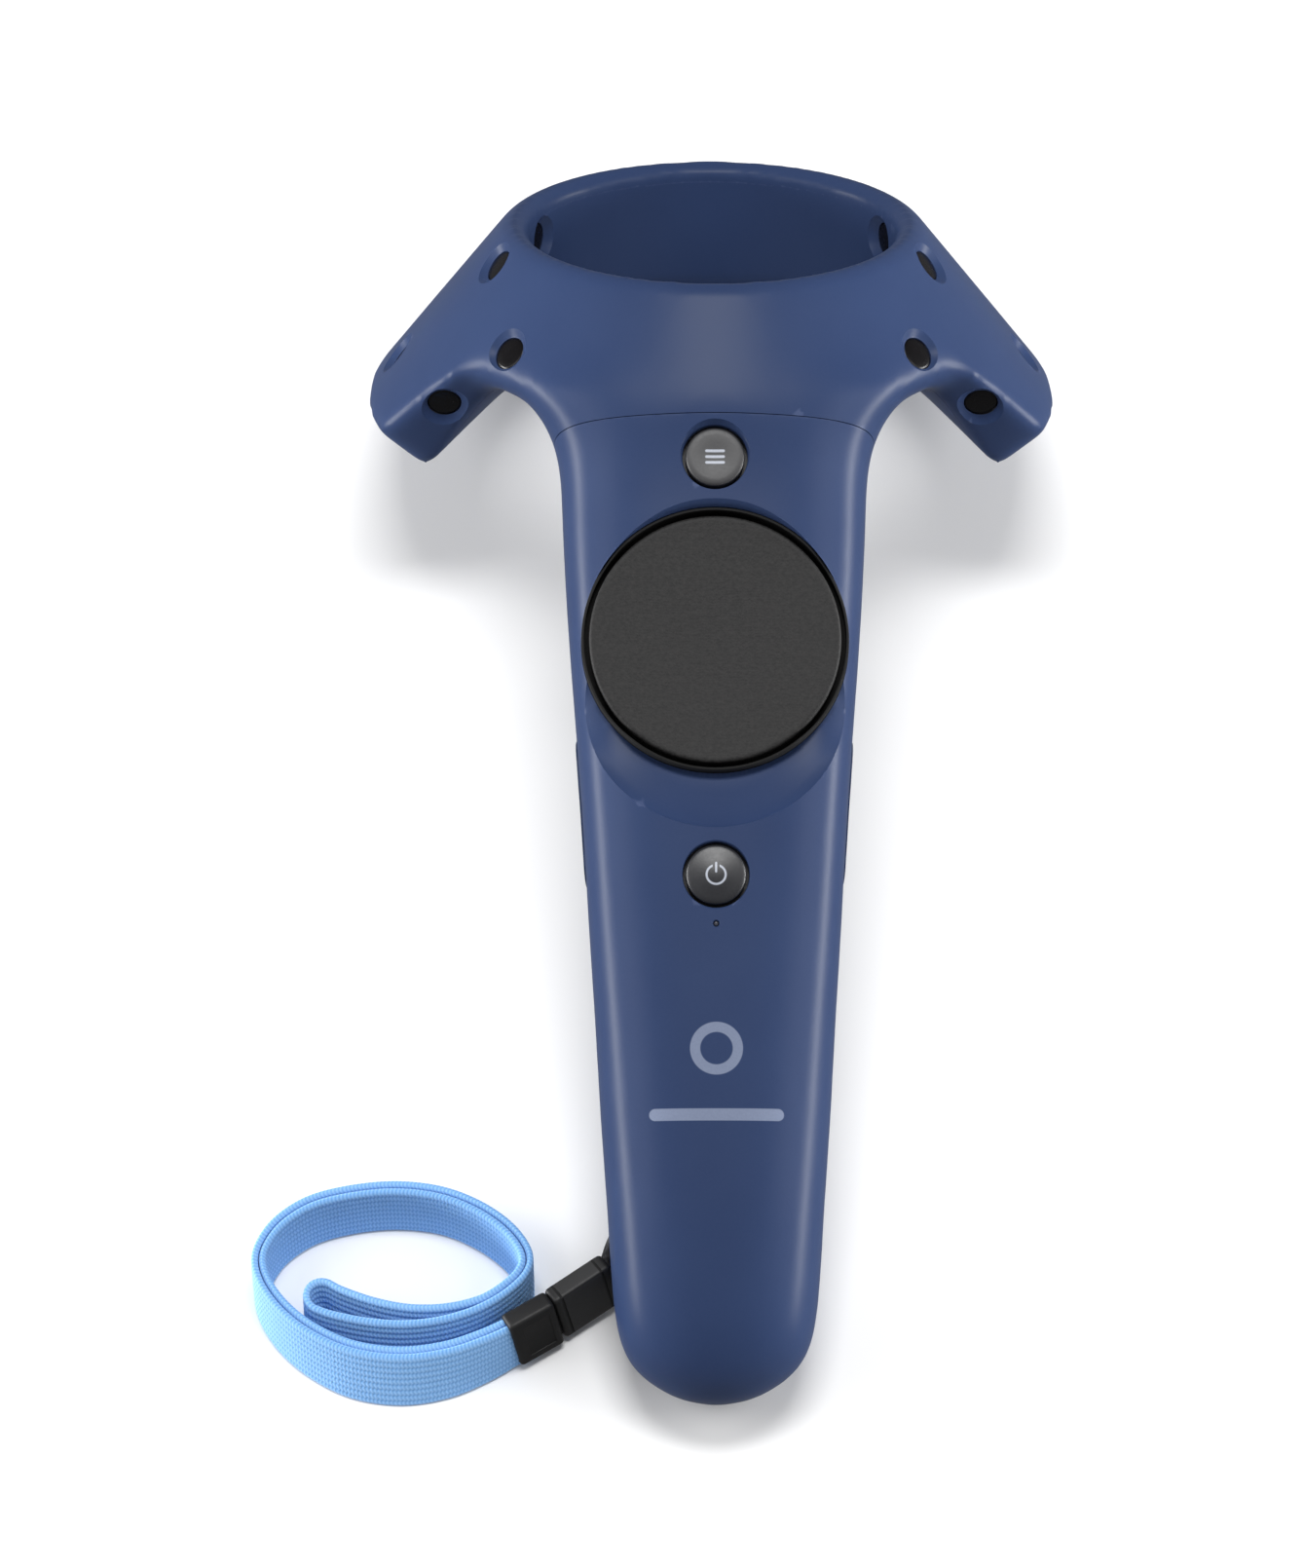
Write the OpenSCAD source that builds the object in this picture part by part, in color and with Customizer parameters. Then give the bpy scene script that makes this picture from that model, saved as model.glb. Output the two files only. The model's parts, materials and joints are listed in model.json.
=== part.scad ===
// Motion controller for virtual reality, lying on a table with its trackpad up.
// It is drawn in the wand's own frame: X right, Y from the butt towards the head and Z out of the
// trackpad. place() turns that frame into the resting one, whose origin is under the middle of the wand.

/* [Head] */
// Tilt of the ring hole's axis out of the handle's direction
ring_tilt = 35; // [34:0.5:36]
// Radius of the ring hole
hole_r = 31; // [30:0.5:31.5]
// Outer radius of the ring's front lip
lip_r = 35.5; // [35:0.5:36.5]
// Radius of the skirt at the lobes
lobe_r = 58.5; // [57:0.5:60]
// Radius of the skirt at its far side
far_r = 45.3; // [44.5:0.1:46]
// Radius of a sensor window
window_r = 2.8; // [2.2:0.1:2.8]
// Thickness of every moulded wall
wall = 2; // [1.8:0.1:2.2]

/* [Trackpad and buttons] */
// Radius of the trackpad
pad_r = 20.4; // [19.5:0.1:20.6]
// Travel of the trackpad when it clicks
pad_travel = 0.4; // [0.2:0.1:0.5]
// Gap round the trackpad
pad_gap = 1.1; // [0.8:0.1:1.3]
// Depth of the trackpad's face under the handle's front
pad_depth = 2.6; // [2.2:0.1:2.8]
// Radius of the menu and system buttons
button_r = 5.2; // [4.6:0.1:5.4]
// Running gap round each button
button_gap = 0.3; // [0.2:0.05:0.4]
// Travel of the menu and system buttons
button_travel = 0.5; // [0.3:0.1:0.6]
// Place of the menu button along the wand
menu_y = 150.2; // [149.8:0.1:150.6]
// Place of the trackpad's centre along the wand
pad_y = 120.8; // [120.4:0.1:121.2]
// Place of the system button along the wand
system_y = 82.5; // [81:0.5:83]

/* [Trigger and grips] */
// Width of the trigger
trigger_w = 13; // [11:0.5:13.5]
// Radius of the trigger's pin
pin_r = 1; // [0.9:0.05:1.1]
// Radial running clearance of the trigger on its pin
pin_fit = 0.04; // [0.02:0.01:0.08]
// Length of each grip button
grip_l = 25; // [22:1:26]
// Height of each grip button
grip_h = 9; // [8:0.5:9.5]

/* [Strap] */
// Width of the strap's webbing
strap_w = 10.5; // [10:0.5:12]
// Thickness of the doubled webbing
strap_t = 2.6; // [2.4:0.2:3.2]

/* [Hidden] */
navy = [0.27, 0.33, 0.49];
black = [0.05, 0.05, 0.06];
charcoal = [0.22, 0.22, 0.22];
rest_tilt = 16.7;
rest_y = -114.27;
rest_z = 22.2;
axis_dir = [0, cos(ring_tilt), sin(ring_tilt)];
far_dir = [0, sin(ring_tilt), -cos(ring_tilt)];
ring_centre = [0, 198, -28.5];
lip_h = 0.8;
skirt_h = -30.6;
lobe_low_r = lobe_r - 8.5;
far_low_r = far_r - 9.3;
low_h = -38;
band_r = 48.4;
band_h = -16.5;
band_low_r = 44;
band_low_h = -21;
hole_low_h = -20;
parting_share = 0.14;
parting_reach = 5;
notch_start = 57;
notch_end = 71;
skirt_squareness = 2.6;
hole_reach = 34;
neck_step = 0.5;
// Handle sections: place, half width, front, back, squareness
HANDLE = [
    [0, 2, -11.5, -15.5, 2], [0.6, 5, -9, -18, 2], [2, 8.2, -6.5, -21, 2.1], [4, 11.2, -4.4, -23.4, 2.2],
    [6.5, 13.6, -2.9, -25.2, 2.3], [10, 15.2, -1.6, -26.5, 2.4], [15, 16.1, -0.8, -27.2, 2.5],
    [22, 16.7, -0.3, -27.4, 2.6], [30, 17.2, 0, -27.4, 2.7], [45, 18.3, 0, -27, 2.7],
    [60, 19.2, 0, -26.6, 2.8], [75, 20.2, 0, -26.4, 2.9], [90, 21.1, 0, -26.4, 3],
    [105, 22.2, 0, -26.8, 3], [120, 23.4, 0, -27.4, 3], [132, 24.2, 0, -28, 3],
    [142, 24.7, 0, -28.2, 2.9], [149, 25.1, 0.2, -27.6, 2.8], [153, 25.6, 0.6, -26, 2.7],
    [156, 26.6, 0.9, -24.2, 2.6], [159, 28.4, 1, -22.4, 2.5], [162, 31.4, 0.9, -22, 2.4],
    [165, 35.2, 0.6, -23, 2.3]];
handle_sides = 40;
seam_y = 157;
seam_lean = 11.3;
parting_z = -14;
scoop_depth = 3.5;
pad_floor = -5.6;
bezel_t = 1.4;
well_wall = 1.3;
window_sink = 0.7;
window_t = 1.2;
cell_w = 3.6;
light_y = 75.2;
light_r = 0.8;
board_z = -11;
board_t = 1;
frame_z = -13;
stem_low = -4.4;
SCREWS = [[0, 25], [16.5, 138], [-16.5, 138]];
screw_head_z = -17;
grip_y = 95;
grip_z = -18.8;
pivot_y = 146.5;
pivot_z = -21.5;
hub_r = 3.2;
ear_x = 8.8;
trigger_slot_y = 117.4;
trigger_slot_l = 33.4;
magnet_at = [4.9, -12, -3.5];
magnet_r = 1.5;
spring_r = 2;
spring_wire = 0.3;
// Trigger outline about its pivot, seen from the right, anticlockwise
TRIGGER = [[-3, 2], [-14, -1.2], [-25, -2.6], [-26.8, -3.6], [-27.4, -5.6], [-26.6, -9.5], [-25, -15],
    [-23.4, -21], [-22.6, -26], [-21.9, -27.6], [-20.2, -28.2], [-18.6, -27.2], [-16.8, -24],
    [-14, -19.2], [-10.6, -15], [-6.5, -11.6], [-2, -9], [2.4, -7], [3.2, -5.6], [3, -1.2]];
usb_w = 7.5;
usb_t = 2.7;
usb_z = -16.2;
notch_y = 24;
notch_l = 6;
bar_x = -14.2;
bar_z = -20.6;
bar_r = 1.1;
cord_r = 0.9;
// Thin cord from the connector round the bar and back, in the wand's frame
CORD_ROUTE = [[-18.5, 19.5, -23.3], [-17.8, 22.4, -23.5], [-16.9, 25.3, -22.6], [-16.4, 26.4, -21.2],
    [-15.9, 26.9, -19.1], [-14.2, 27.1, -18.3], [-12.4, 27, -19.2], [-11.9, 26.9, -21],
    [-12.9, 26.6, -22.7], [-14.4, 26, -23.6], [-15.8, 24, -24.7], [-17, 21.8, -25], [-18.2, 19.7, -24.9]];
clip_lean = 18;
strap_floor = 0.1;
clip_at = [-32.6, -98.4];
clip_yaw = 31;
clip_l = 8.1;
connector_at = [-25.6, -93.7];
connector_yaw = 35;
connector_l = 11;
// Foot line of the strap on the table, from inside the clip to the fold
STRAP_ROUTE = [[-28.9, -97.8, 16], [-32, -99.7, 18], [-36.6, -102.5, 22], [-42.7, -105.2, 26],
    [-50, -106.4, 28], [-57.6, -105.3, 28], [-64, -102.1, 26], [-68.8, -98, 24], [-72, -93.3, 22],
    [-73, -88.9, 20], [-71.4, -84.6, 18], [-68.4, -81.3, 17], [-64, -78.7, 16], [-57.5, -77, 15],
    [-50.8, -76.5, 15], [-44, -77.4, 15], [-38.2, -79.9, 16], [-33.6, -83.3, 17], [-30.8, -87, 18],
    [-30.3, -90.2, 20], [-32.2, -93.4, 22], [-36.6, -96.9, 24], [-42.3, -99, 25], [-48.5, -99.6, 25],
    [-54.5, -98.9, 25], [-60, -97.4, 25], [-62.6, -96.3, 25]];

function lerp(a, b, t) = a + (b - a) * t;
function smooth(t) = let (c = min(1, max(0, t))) c * c * (3 - 2 * c);
function unit(v) = v / norm(v);
function signed_pow(v, e) = sign(v) * pow(abs(v), e);

// Angles round the ring: 0 at the right lobe, 90 at the far side, -90 at the handle
function ring_point(phi, r, h) =
    ring_centre + r * cos(phi) * [1, 0, 0] + r * sin(phi) * far_dir + h * axis_dir;
function from_handle(phi) = let (a = (phi + 90 + 720) % 360) min(a, 360 - a);
function skirt_part(phi) = smooth((from_handle(phi) - notch_start) / (notch_end - notch_start));
function oval(phi, side, far) =
    sin(phi) <= 0 ? side :
    pow(pow(abs(cos(phi)) / side, skirt_squareness) + pow(sin(phi) / far, skirt_squareness),
        -1 / skirt_squareness);
// The ring's section as radius and height, anticlockwise from the foot of the hole's wall
function ring_section(phi) =
    let (s = skirt_part(phi)) [
        [hole_r, hole_low_h],
        [lerp(band_low_r, oval(phi, lobe_low_r, far_low_r), s), lerp(band_low_h, low_h, s)],
        [lerp(band_r, oval(phi, lobe_r, far_r), s), lerp(band_h, skirt_h, s)],
        [lip_r, -0.5],
        [(hole_r + lip_r) / 2, lip_h],
        [hole_r, -0.8]];
// A convex outline moved inwards by d
function inset(p, d) =
    [for (i = [0 : len(p) - 1])
        let (a = p[(i + len(p) - 1) % len(p)], b = p[i], c = p[(i + 1) % len(p)],
             u = unit(b - a), v = unit(c - b), nu = [-u[1], u[0]], nv = [-v[1], v[0]])
        b + d * (nu + nv) / (1 + nu * nv)];
function handle_section(row, d) =
    let (half_w = row[1] - d, top = row[2] - d, low = row[3] + d, e = 2 / row[4])
    [for (i = [0 : handle_sides - 1])
        let (a = 360 * i / handle_sides)
        [half_w * signed_pow(cos(a), e), row[0], (top + low) / 2 + (top - low) / 2 * signed_pow(sin(a), e)]];

// A closed skin through a row of outlines; the last joins the first when wrap is true
module skin(rings, wrap = false) {
    n = len(rings[0]);
    m = len(rings);
    side = [for (j = [0 : wrap ? m - 1 : m - 2], i = [0 : n - 1])
        let (k = (j + 1) % m, a = j * n + i, b = j * n + (i + 1) % n, c = k * n + (i + 1) % n, d = k * n + i)
        each [[a, b, c], [a, c, d]]];
    ends = wrap ? [] : [[for (i = [n - 1 : -1 : 0]) i], [for (i = [0 : n - 1]) (m - 1) * n + i]];
    polyhedron([for (r = rings) each r], concat(side, ends));
}
module place() {
    translate([0, rest_y, rest_z]) rotate([rest_tilt, 0, 0]) children();
}
module ring_body(d) {
    skin([for (phi = [0 : 5 : 355])
        [for (p = inset(ring_section(phi), d)) ring_point(phi, p[0], p[1])]], true);
}
module handle_body(d) {
    skin([for (row = HANDLE) if (row[0] >= 2 * d) handle_section(row, d)]);
}
module ring_frame(phi = 0) {
    multmatrix([[cos(phi), -sin(phi), 0, ring_centre[0]],
                [sin(phi) * far_dir[1], cos(phi) * far_dir[1], axis_dir[1], ring_centre[1]],
                [sin(phi) * far_dir[2], cos(phi) * far_dir[2], axis_dir[2], ring_centre[2]]]) children();
}
// ---- Places on the head's surface ----
// A point on the ring's section: edge number, angle, part of the way along the edge
function edge_point(i, phi, t) =
    let (s = ring_section(phi), p = lerp(s[i], s[(i + 1) % len(s)], t)) ring_point(phi, p[0], p[1]);
function edge_normal(i, phi, t) =
    let (along = edge_point(i, phi, t + 0.05) - edge_point(i, phi, t - 0.05),
         round = edge_point(i, phi + 1, t) - edge_point(i, phi - 1, t)) unit(cross(round, along));
foot_edge = 0;
low_edge = 1;
cone_edge = 2;
bore_edge = 5;
// Sensor places on the right half: edge, angle, part of the way; each has a twin on the left
OUTER_SENSORS = [[cone_edge, 1, 0.24], [cone_edge, -16, 0.9], [cone_edge, -41, 0.26], [cone_edge, 30, 0.6],
    [cone_edge, 52, 0.3], [cone_edge, 74, 0.62]];
INNER_SENSORS = [[bore_edge, 21, 0.3], [bore_edge, -22, 0.6], [bore_edge, -62, 0.5],
    [foot_edge, 6, 0.6], [foot_edge, 60, 0.55]];
END_SENSORS = [[low_edge, -26, 0.5]];
function pairs(list) = [for (s = list) each [s, [s[0], 180 - s[1], s[2]]]];
module at_sensors(list) {
    for (s = pairs(list)) {
        n = edge_normal(s[0], s[1], s[2]);
        translate(edge_point(s[0], s[1], s[2])) rotate([0, acos(n[2]), atan2(n[1], n[0])]) children();
    }
}
module sensor_holes() {
    at_sensors(concat(OUTER_SENSORS, INNER_SENSORS, END_SENSORS)) {
        translate([0, 0, -3.4]) cylinder(r = window_r + 0.05, h = 6, $fn = 24);
        translate([0, 0, -window_sink])
            cylinder(r1 = window_r + 0.05, r2 = window_r + 1.4, h = 1.4, $fn = 24);
        translate([0, 0, -3.5]) cube([cell_w + 0.4, cell_w + 0.4, 3], center = true);
    }
}
module windows(list) {
    at_sensors(list) translate([0, 0, -window_sink - window_t])
        cylinder(r = window_r, h = window_t, $fn = 24);
}

// ---- Body volumes that the shells are cut from ----
module hole_space(d) {
    ring_frame() translate([0, 0, -hole_reach - d])
        cylinder(r = hole_r + d + neck_step, h = hole_reach + 20, $fn = 72);
}
module outer_body() {
    ring_body(0);
    difference() {
        handle_body(0);
        hole_space(0);
    }
}
module scoop(d) {
    intersection() {
        translate([0, pad_y - 0.8, 0]) rotate_extrude($fn = 72)
            polygon([[0, -scoop_depth - d], [25 + d / 4, -scoop_depth - d], [27.6 + 0.6 * d, -2.6 - 0.8 * d],
                [29.4 + 0.8 * d, -1.1 - 0.5 * d], [30 + d, 1], [30 + d, 6], [0, 6]]);
        translate([-50, pad_y - 52 - d, -20]) cube([100, 50 + 2 * d, 40]);
    }
}
module lanyard_notch(d) {
    translate([-30, notch_y - d, -34]) cube([20.6 + d, notch_l + 2 * d, 17.4 + d]);
}
module cavity_body() {
    ring_body(wall);
    difference() {
        handle_body(wall);
        hole_space(wall);
        scoop(wall);
        lanyard_notch(wall);
    }
}
module table() {
    rotate([-rest_tilt, 0, 0]) translate([-200, -300, -rest_z - 100]) cube([400, 700, 100]);
}
module shell() {
    difference() {
        outer_body();
        cavity_body();
        table();
    }
}
module head_side() {
    translate([0, seam_y, 0]) rotate([-seam_lean, 0, 0]) translate([-100, 0, -150]) cube([200, 200, 300]);
}
// The space inside the parting line of the two head shells
module inner_zone() {
    skin([for (phi = [0 : 5 : 355])
        let (s = ring_section(phi), foot = lerp(s[1], s[0], parting_share), u = unit(s[1] - s[0]),
             across = parting_reach * [-u[1], u[0]])
        [for (p = [[20, -2.5], [20, -60], foot - across, foot + across, [34, -2.5]])
            ring_point(phi, p[0], p[1])]], true);
}
module screw_spots() {
    for (p = SCREWS) translate([p[0], p[1], 0]) children();
}

// ---- Casings ----
module head_outer_shell() color(navy) place() difference() {
    intersection() {
        shell();
        head_side();
    }
    inner_zone();
    sensor_holes();
}
module head_inner_shell() color(navy) place() difference() {
    intersection() {
        shell();
        head_side();
        inner_zone();
    }
    sensor_holes();
}
module front_half() {
    translate([-100, -10, parting_z]) cube([200, 200, 60]);
}
module button_hole(y) {
    translate([0, y, -6]) cylinder(r = button_r + button_gap, h = 12, $fn = 48);
    translate([0, y, -7]) cylinder(r = button_r + 1.5, h = 5, $fn = 48);
}
module handle_front_cover() color(navy) place() {
    difference() {
        union() {
            intersection() {
                shell();
                front_half();
            }
            intersection() {
                union() {
                    screw_spots() translate([0, 0, parting_z]) cylinder(r = 3, h = 14.5, $fn = 24);
                    translate([0, pad_y, pad_floor - bezel_t])
                        cylinder(r = pad_r + pad_gap + well_wall, h = 8, $fn = 72);
                }
                handle_body(0.4);
            }
        }
        head_side();
        scoop(0);
        translate([0, pad_y, pad_floor - bezel_t - 0.05]) cylinder(r = pad_r + pad_gap, h = 20, $fn = 72);
        button_hole(menu_y);
        button_hole(system_y);
        translate([0, light_y, -6]) cylinder(r = light_r + 0.05, h = 12, $fn = 24);
        screw_spots() translate([0, 0, parting_z - 1]) cylinder(r = 1.1, h = 9, $fn = 24);
    }
}
module grip_outline(grow) {
    l = grip_l / 2 + grow;
    h = grip_h / 2 + grow;
    translate([0, grip_y, grip_z]) rotate([0, 90, 0]) linear_extrude(60, center = true) {
        square([2 * h, 2 * (l - h)], center = true);
        for (s = [-1, 1]) translate([0, s * (l - h)]) circle(r = h, $fn = 32);
    }
}
module handle_rear_cover() color(navy) place() {
    difference() {
        union() {
            difference() {
                shell();
                front_half();
            }
            intersection() {
                screw_spots() translate([0, 0, -40]) cylinder(r = 3.6, h = 40 + parting_z, $fn = 24);
                outer_body();
            }
        }
        head_side();
        table();
        grip_outline(0.3);
        screw_spots() translate([0, 0, -50]) cylinder(r = 2.3, h = 50 + screw_head_z, $fn = 24);
        screw_spots() translate([0, 0, -40]) cylinder(r = 1.1, h = 40, $fn = 24);
        translate([-trigger_w / 2 - 0.9, trigger_slot_y, -60])
            cube([trigger_w + 1.8, trigger_slot_l, 60 + parting_z - 0.5]);
        translate([-usb_w / 2 - 0.2, -1, usb_z - usb_t / 2 - 0.2]) cube([usb_w + 0.4, 8, usb_t + 0.4]);
        lanyard_notch(0);
        translate([bar_x, notch_y - 1.2, bar_z]) rotate([-90, 0, 0])
            cylinder(r = bar_r + 0.1, h = notch_l + 2.4, $fn = 24);
    }
}

// ---- Trackpad and buttons ----
module trackpad_bezel() color(black) place() translate([0, pad_y, pad_floor - bezel_t]) difference() {
    cylinder(r = pad_r + pad_gap - 0.1, h = bezel_t, $fn = 72);
    translate([0, 0, -1]) cylinder(r = pad_r - 3.4, h = bezel_t + 2, $fn = 72);
}
module trackpad_cap() color(charcoal) place() translate([0, pad_y, 0]) rotate_extrude($fn = 72)
    polygon([[0, -pad_depth - 2.2], [pad_r, -pad_depth - 2.2], [pad_r, -pad_depth - 0.4],
        [pad_r - 0.4, -pad_depth], [pad_r - 6, -pad_depth - 0.15], [0, -pad_depth - 0.5]]);
module trackpad_board() color("darkgreen") place() translate([0, pad_y, -pad_depth - 3.2])
    cylinder(r = pad_r - 4, h = 1, $fn = 72);
module tact_switch(y, top) {
    translate([-3, y - 3, board_z + board_t]) cube([6, 6, 2.4]);
    translate([0, y, board_z + board_t + 2]) cylinder(r = 1.6, h = top - board_z - board_t - 2, $fn = 24);
}
module trackpad_switch() color("silver") place() tact_switch(pad_y, -pad_depth - 3.2 - pad_travel - 0.15);
module cap_with_stem(y, face, dome) {
    translate([0, y, 0]) rotate_extrude($fn = 48) polygon([[0, stem_low], [1.8, stem_low], [1.8, -3.1],
        [button_r + 1, -3.1], [button_r + 1, -2.4], [button_r, -2.4], [button_r, face - 0.5],
        [button_r - 0.5, face], [0, face + dome]]);
}
module menu_button() color(charcoal) place() cap_with_stem(menu_y, 0.3, -0.25);
module menu_switch() color("silver") place() tact_switch(menu_y, stem_low - button_travel - 0.15);
module system_button() color(charcoal) place() cap_with_stem(system_y, 0.3, 0.5);
module system_switch() color("silver") place() tact_switch(system_y, stem_low - button_travel - 0.15);
module status_light() color("white") place() translate([0, light_y, board_z + board_t + 0.6])
    cylinder(r = light_r, h = -board_z - board_t - 0.7, $fn = 24);

// ---- Trigger ----
module at_pivot() {
    translate([0, pivot_y, pivot_z]) children();
}
module trigger_profile() {
    difference() {
        union() {
            circle(r = hub_r, $fn = 32);
            polygon(TRIGGER);
        }
        circle(r = pin_r + pin_fit, $fn = 32);
    }
}
module trigger() color(black) place() at_pivot() difference() {
    rotate([90, 0, 90]) linear_extrude(trigger_w, center = true) trigger_profile();
    translate([-2.6, -4.2, -4.2]) cube([5.2, 8.4, 8.4]);
    translate(magnet_at) rotate([0, 90, 0]) translate([0, 0, -1.6])
        cylinder(r = magnet_r + 0.05, h = 9, $fn = 24);
}
module trigger_magnet() color("silver") place() at_pivot() translate(magnet_at)
    rotate([0, 90, 0]) cylinder(r = magnet_r, h = 3, center = true, $fn = 24);
module trigger_pin() color("silver") place() at_pivot() rotate([0, 90, 0])
    cylinder(r = pin_r, h = ear_x * 2 + 3.4, center = true, $fn = 32);
module trigger_bracket() color("dimgray") place() difference() {
    union() {
        for (s = [-1, 1]) translate([s * ear_x - 0.9, pivot_y - 3.6, pivot_z - 2.1]) cube([1.8, 6, 10.6]);
        translate([-ear_x - 0.9, pivot_y - 3.6, frame_z - 1.2]) cube([2 * ear_x + 1.8, 6, 1.2]);
    }
    at_pivot() rotate([0, 90, 0]) cylinder(r = pin_r, h = 40, center = true, $fn = 32);
}
// A torsion spring: a wire swept round the pin with two straight legs
spring_route = concat([[-1.6, -7, 3.7], [-1.6, -3.4, 3.4]],
    [for (a = [60 : 30 : 1140]) [-1.6 + a / 1140 * 3.2, -spring_r * cos(a), spring_r * sin(a)]],
    [[1.7, 3.2, 5.6]]);
module trigger_spring() color("silver") place() at_pivot() tube(spring_route, spring_wire, 8);
module trigger_switch() color("silver") place() {
    translate([-3, 125, frame_z - 1.85]) cube([6, 6, 1.8]);
    translate([0, 128, -17.9]) cylinder(r = 1, h = 3.4, $fn = 24);
}
module trigger_sensor() color(black) place() translate([7.9, 132.5, -24]) cube([1.2, 4, 4]);

// ---- Grip buttons ----
module grip_cap(s) {
    intersection() {
        translate([s > 0 ? 10 : -40, 0, -40]) cube([30, 150, 60]);
        union() {
            intersection() {
                difference() {
                    handle_body(-0.5);
                    handle_body(2.8);
                }
                grip_outline(0);
            }
            intersection() {
                difference() {
                    handle_body(2.6);
                    handle_body(3.6);
                }
                grip_outline(1);
            }
            translate([s * 16.4, grip_y, grip_z]) cube([2.1, 3, 3], center = true);
        }
    }
}
module left_grip_button() color(navy) place() grip_cap(-1);
module right_grip_button() color(navy) place() grip_cap(1);
module grip_switch(s) {
    translate([s * 13.7, grip_y, grip_z]) cube([2.2, 6, 2.2], center = true);
    translate([s * 11.7, grip_y, grip_z]) cube([1.8, 3, 2], center = true);
}
module left_grip_switch() color("silver") place() grip_switch(-1);
module right_grip_switch() color("silver") place() grip_switch(1);

// ---- Tracking ----
module outer_sensor_windows() color(black) place() windows(OUTER_SENSORS);
module inner_sensor_windows() color(black) place() windows(INNER_SENSORS);
module end_sensor_windows() color(black) place() windows(END_SENSORS);
module sensor_cells() color("darkgreen") place() at_sensors(concat(OUTER_SENSORS, INNER_SENSORS, END_SENSORS))
    translate([0, 0, -window_sink - window_t - 0.75]) cube([cell_w, cell_w, 1], center = true);
module sensor_flex() color("orange") place() ring_frame() translate([0, 0, -17]) difference() {
    cylinder(r = 34.9, h = 8, $fn = 72);
    translate([0, 0, -1]) cylinder(r = 34.6, h = 10, $fn = 72);
}

// ---- Inside the handle ----
module board_spots() {
    for (x = [-10.4, 10.4], y = [46, 102]) translate([x, y, 0]) children();
}
module inner_frame() color("dimgray") place() difference() {
    union() {
        translate([-12.4, 32, frame_z]) cube([24.8, 118, 1]);
        board_spots() translate([0, 0, frame_z]) cylinder(r = 1.9, h = board_z - frame_z, $fn = 24);
        for (y = [62, 108]) translate([-17, y, frame_z]) cube([34, 4, 1]);
    }
    board_spots() translate([0, 0, frame_z - 1]) cylinder(r = 0.82, h = 6, $fn = 24);
}
module main_board() color("darkgreen") place() difference() {
    translate([-12.6, 40, board_z]) cube([25.2, 114, board_t]);
    board_spots() translate([0, 0, board_z - 1]) cylinder(r = 0.95, h = 4, $fn = 24);
}
module board_screws() color("silver") place() board_spots() {
    translate([0, 0, board_z + board_t]) cylinder(r = 1.5, h = 0.9, $fn = 24);
    translate([0, 0, frame_z - 0.4]) cylinder(r = 0.8, h = board_z + board_t - frame_z + 0.6, $fn = 24);
}
module case_screws() color("silver") place() screw_spots() {
    translate([0, 0, screw_head_z - 1.4]) cylinder(r = 2, h = 1.4, $fn = 24);
    translate([0, 0, screw_head_z - 0.2]) cylinder(r = 1, h = 8, $fn = 24);
}
module radio_shield() color("silver") place() translate([-8, 54, board_z + board_t]) cube([16, 18, 2.2]);
module antenna() color("gold") place() translate([-11, 145, board_z + board_t]) cube([2.4, 8, 1.6]);
module battery() color("silver") place() translate([-10, 34, -22.4]) cube([20, 48, 7.6]);
module haptic_actuator() color("silver") place() translate([0, 96, -18.6]) rotate([0, 90, 0])
    cylinder(r = 4.4, h = 18, center = true, $fn = 40);
module usb_board() color("darkgreen") place()
    translate([-7, 6.2, usb_z - usb_t / 2 - 1.05]) cube([14, 12, 1]);
module usb_socket() color("silver") place() translate([-usb_w / 2, 0.7, usb_z - usb_t / 2]) difference() {
    cube([usb_w, 6.4, usb_t]);
    translate([0.35, -1, 0.35]) cube([usb_w - 0.7, 6.2, usb_t - 0.7]);
}

// ---- Strap ----
// A tube swept along a route of points
module tube(route, r, sides) {
    m = len(route);
    skin([for (j = [0 : m - 1])
        let (t = unit(route[min(j + 1, m - 1)] - route[max(j - 1, 0)]),
             u = unit(cross(t, abs(t[0]) < 0.8 ? [1, 0, 0] : [0, 0, 1])), v = cross(t, u))
        [for (i = [0 : sides - 1]) route[j] + r * (cos(360 * i / sides) * v + sin(360 * i / sides) * u)]]);
}
// A flat band standing on its edge along a route of [x, y, lean towards +Y] on the table
module band(route, w, t) {
    m = len(route);
    skin([for (j = [0 : m - 1])
        let (a = route[max(j - 1, 0)], b = route[min(j + 1, m - 1)], d = unit([b[0] - a[0], b[1] - a[1]]),
             n = t / 2 * [-d[1], d[0], 0], p = [route[j][0], route[j][1], strap_floor],
             up = w * [0, sin(route[j][2]), cos(route[j][2])])
        [p - n, p - n + up, p + n + up, p + n]]);
}
// A box on the table along a line, leaning back about its lower edge
module leaning_box(from, yaw, length, w, t, lean) {
    translate([from[0], from[1], strap_floor]) rotate([0, 0, yaw]) rotate([90 - lean, 0, 0])
        cube([length, w, t]);
}
module lanyard_anchor() color("silver") place() translate([bar_x, notch_y - 1.1, bar_z])
    rotate([-90, 0, 0]) cylinder(r = bar_r, h = notch_l + 2.2, $fn = 24);
module strap_cord() color(black) place() tube(CORD_ROUTE, cord_r, 8);
module strap_connector() color(black) {
    leaning_box(connector_at, connector_yaw, connector_l, 10.2, 3.6, clip_lean);
    leaning_box(connector_at - 3 * [cos(connector_yaw), sin(connector_yaw)], connector_yaw, 4,
        6, 2.2, clip_lean);
}
module strap_end_clip() color(black) leaning_box(clip_at, clip_yaw, clip_l, 10.7, 3.6, clip_lean);
module strap_webbing() color("skyblue") band(STRAP_ROUTE, strap_w, strap_t);

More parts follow.
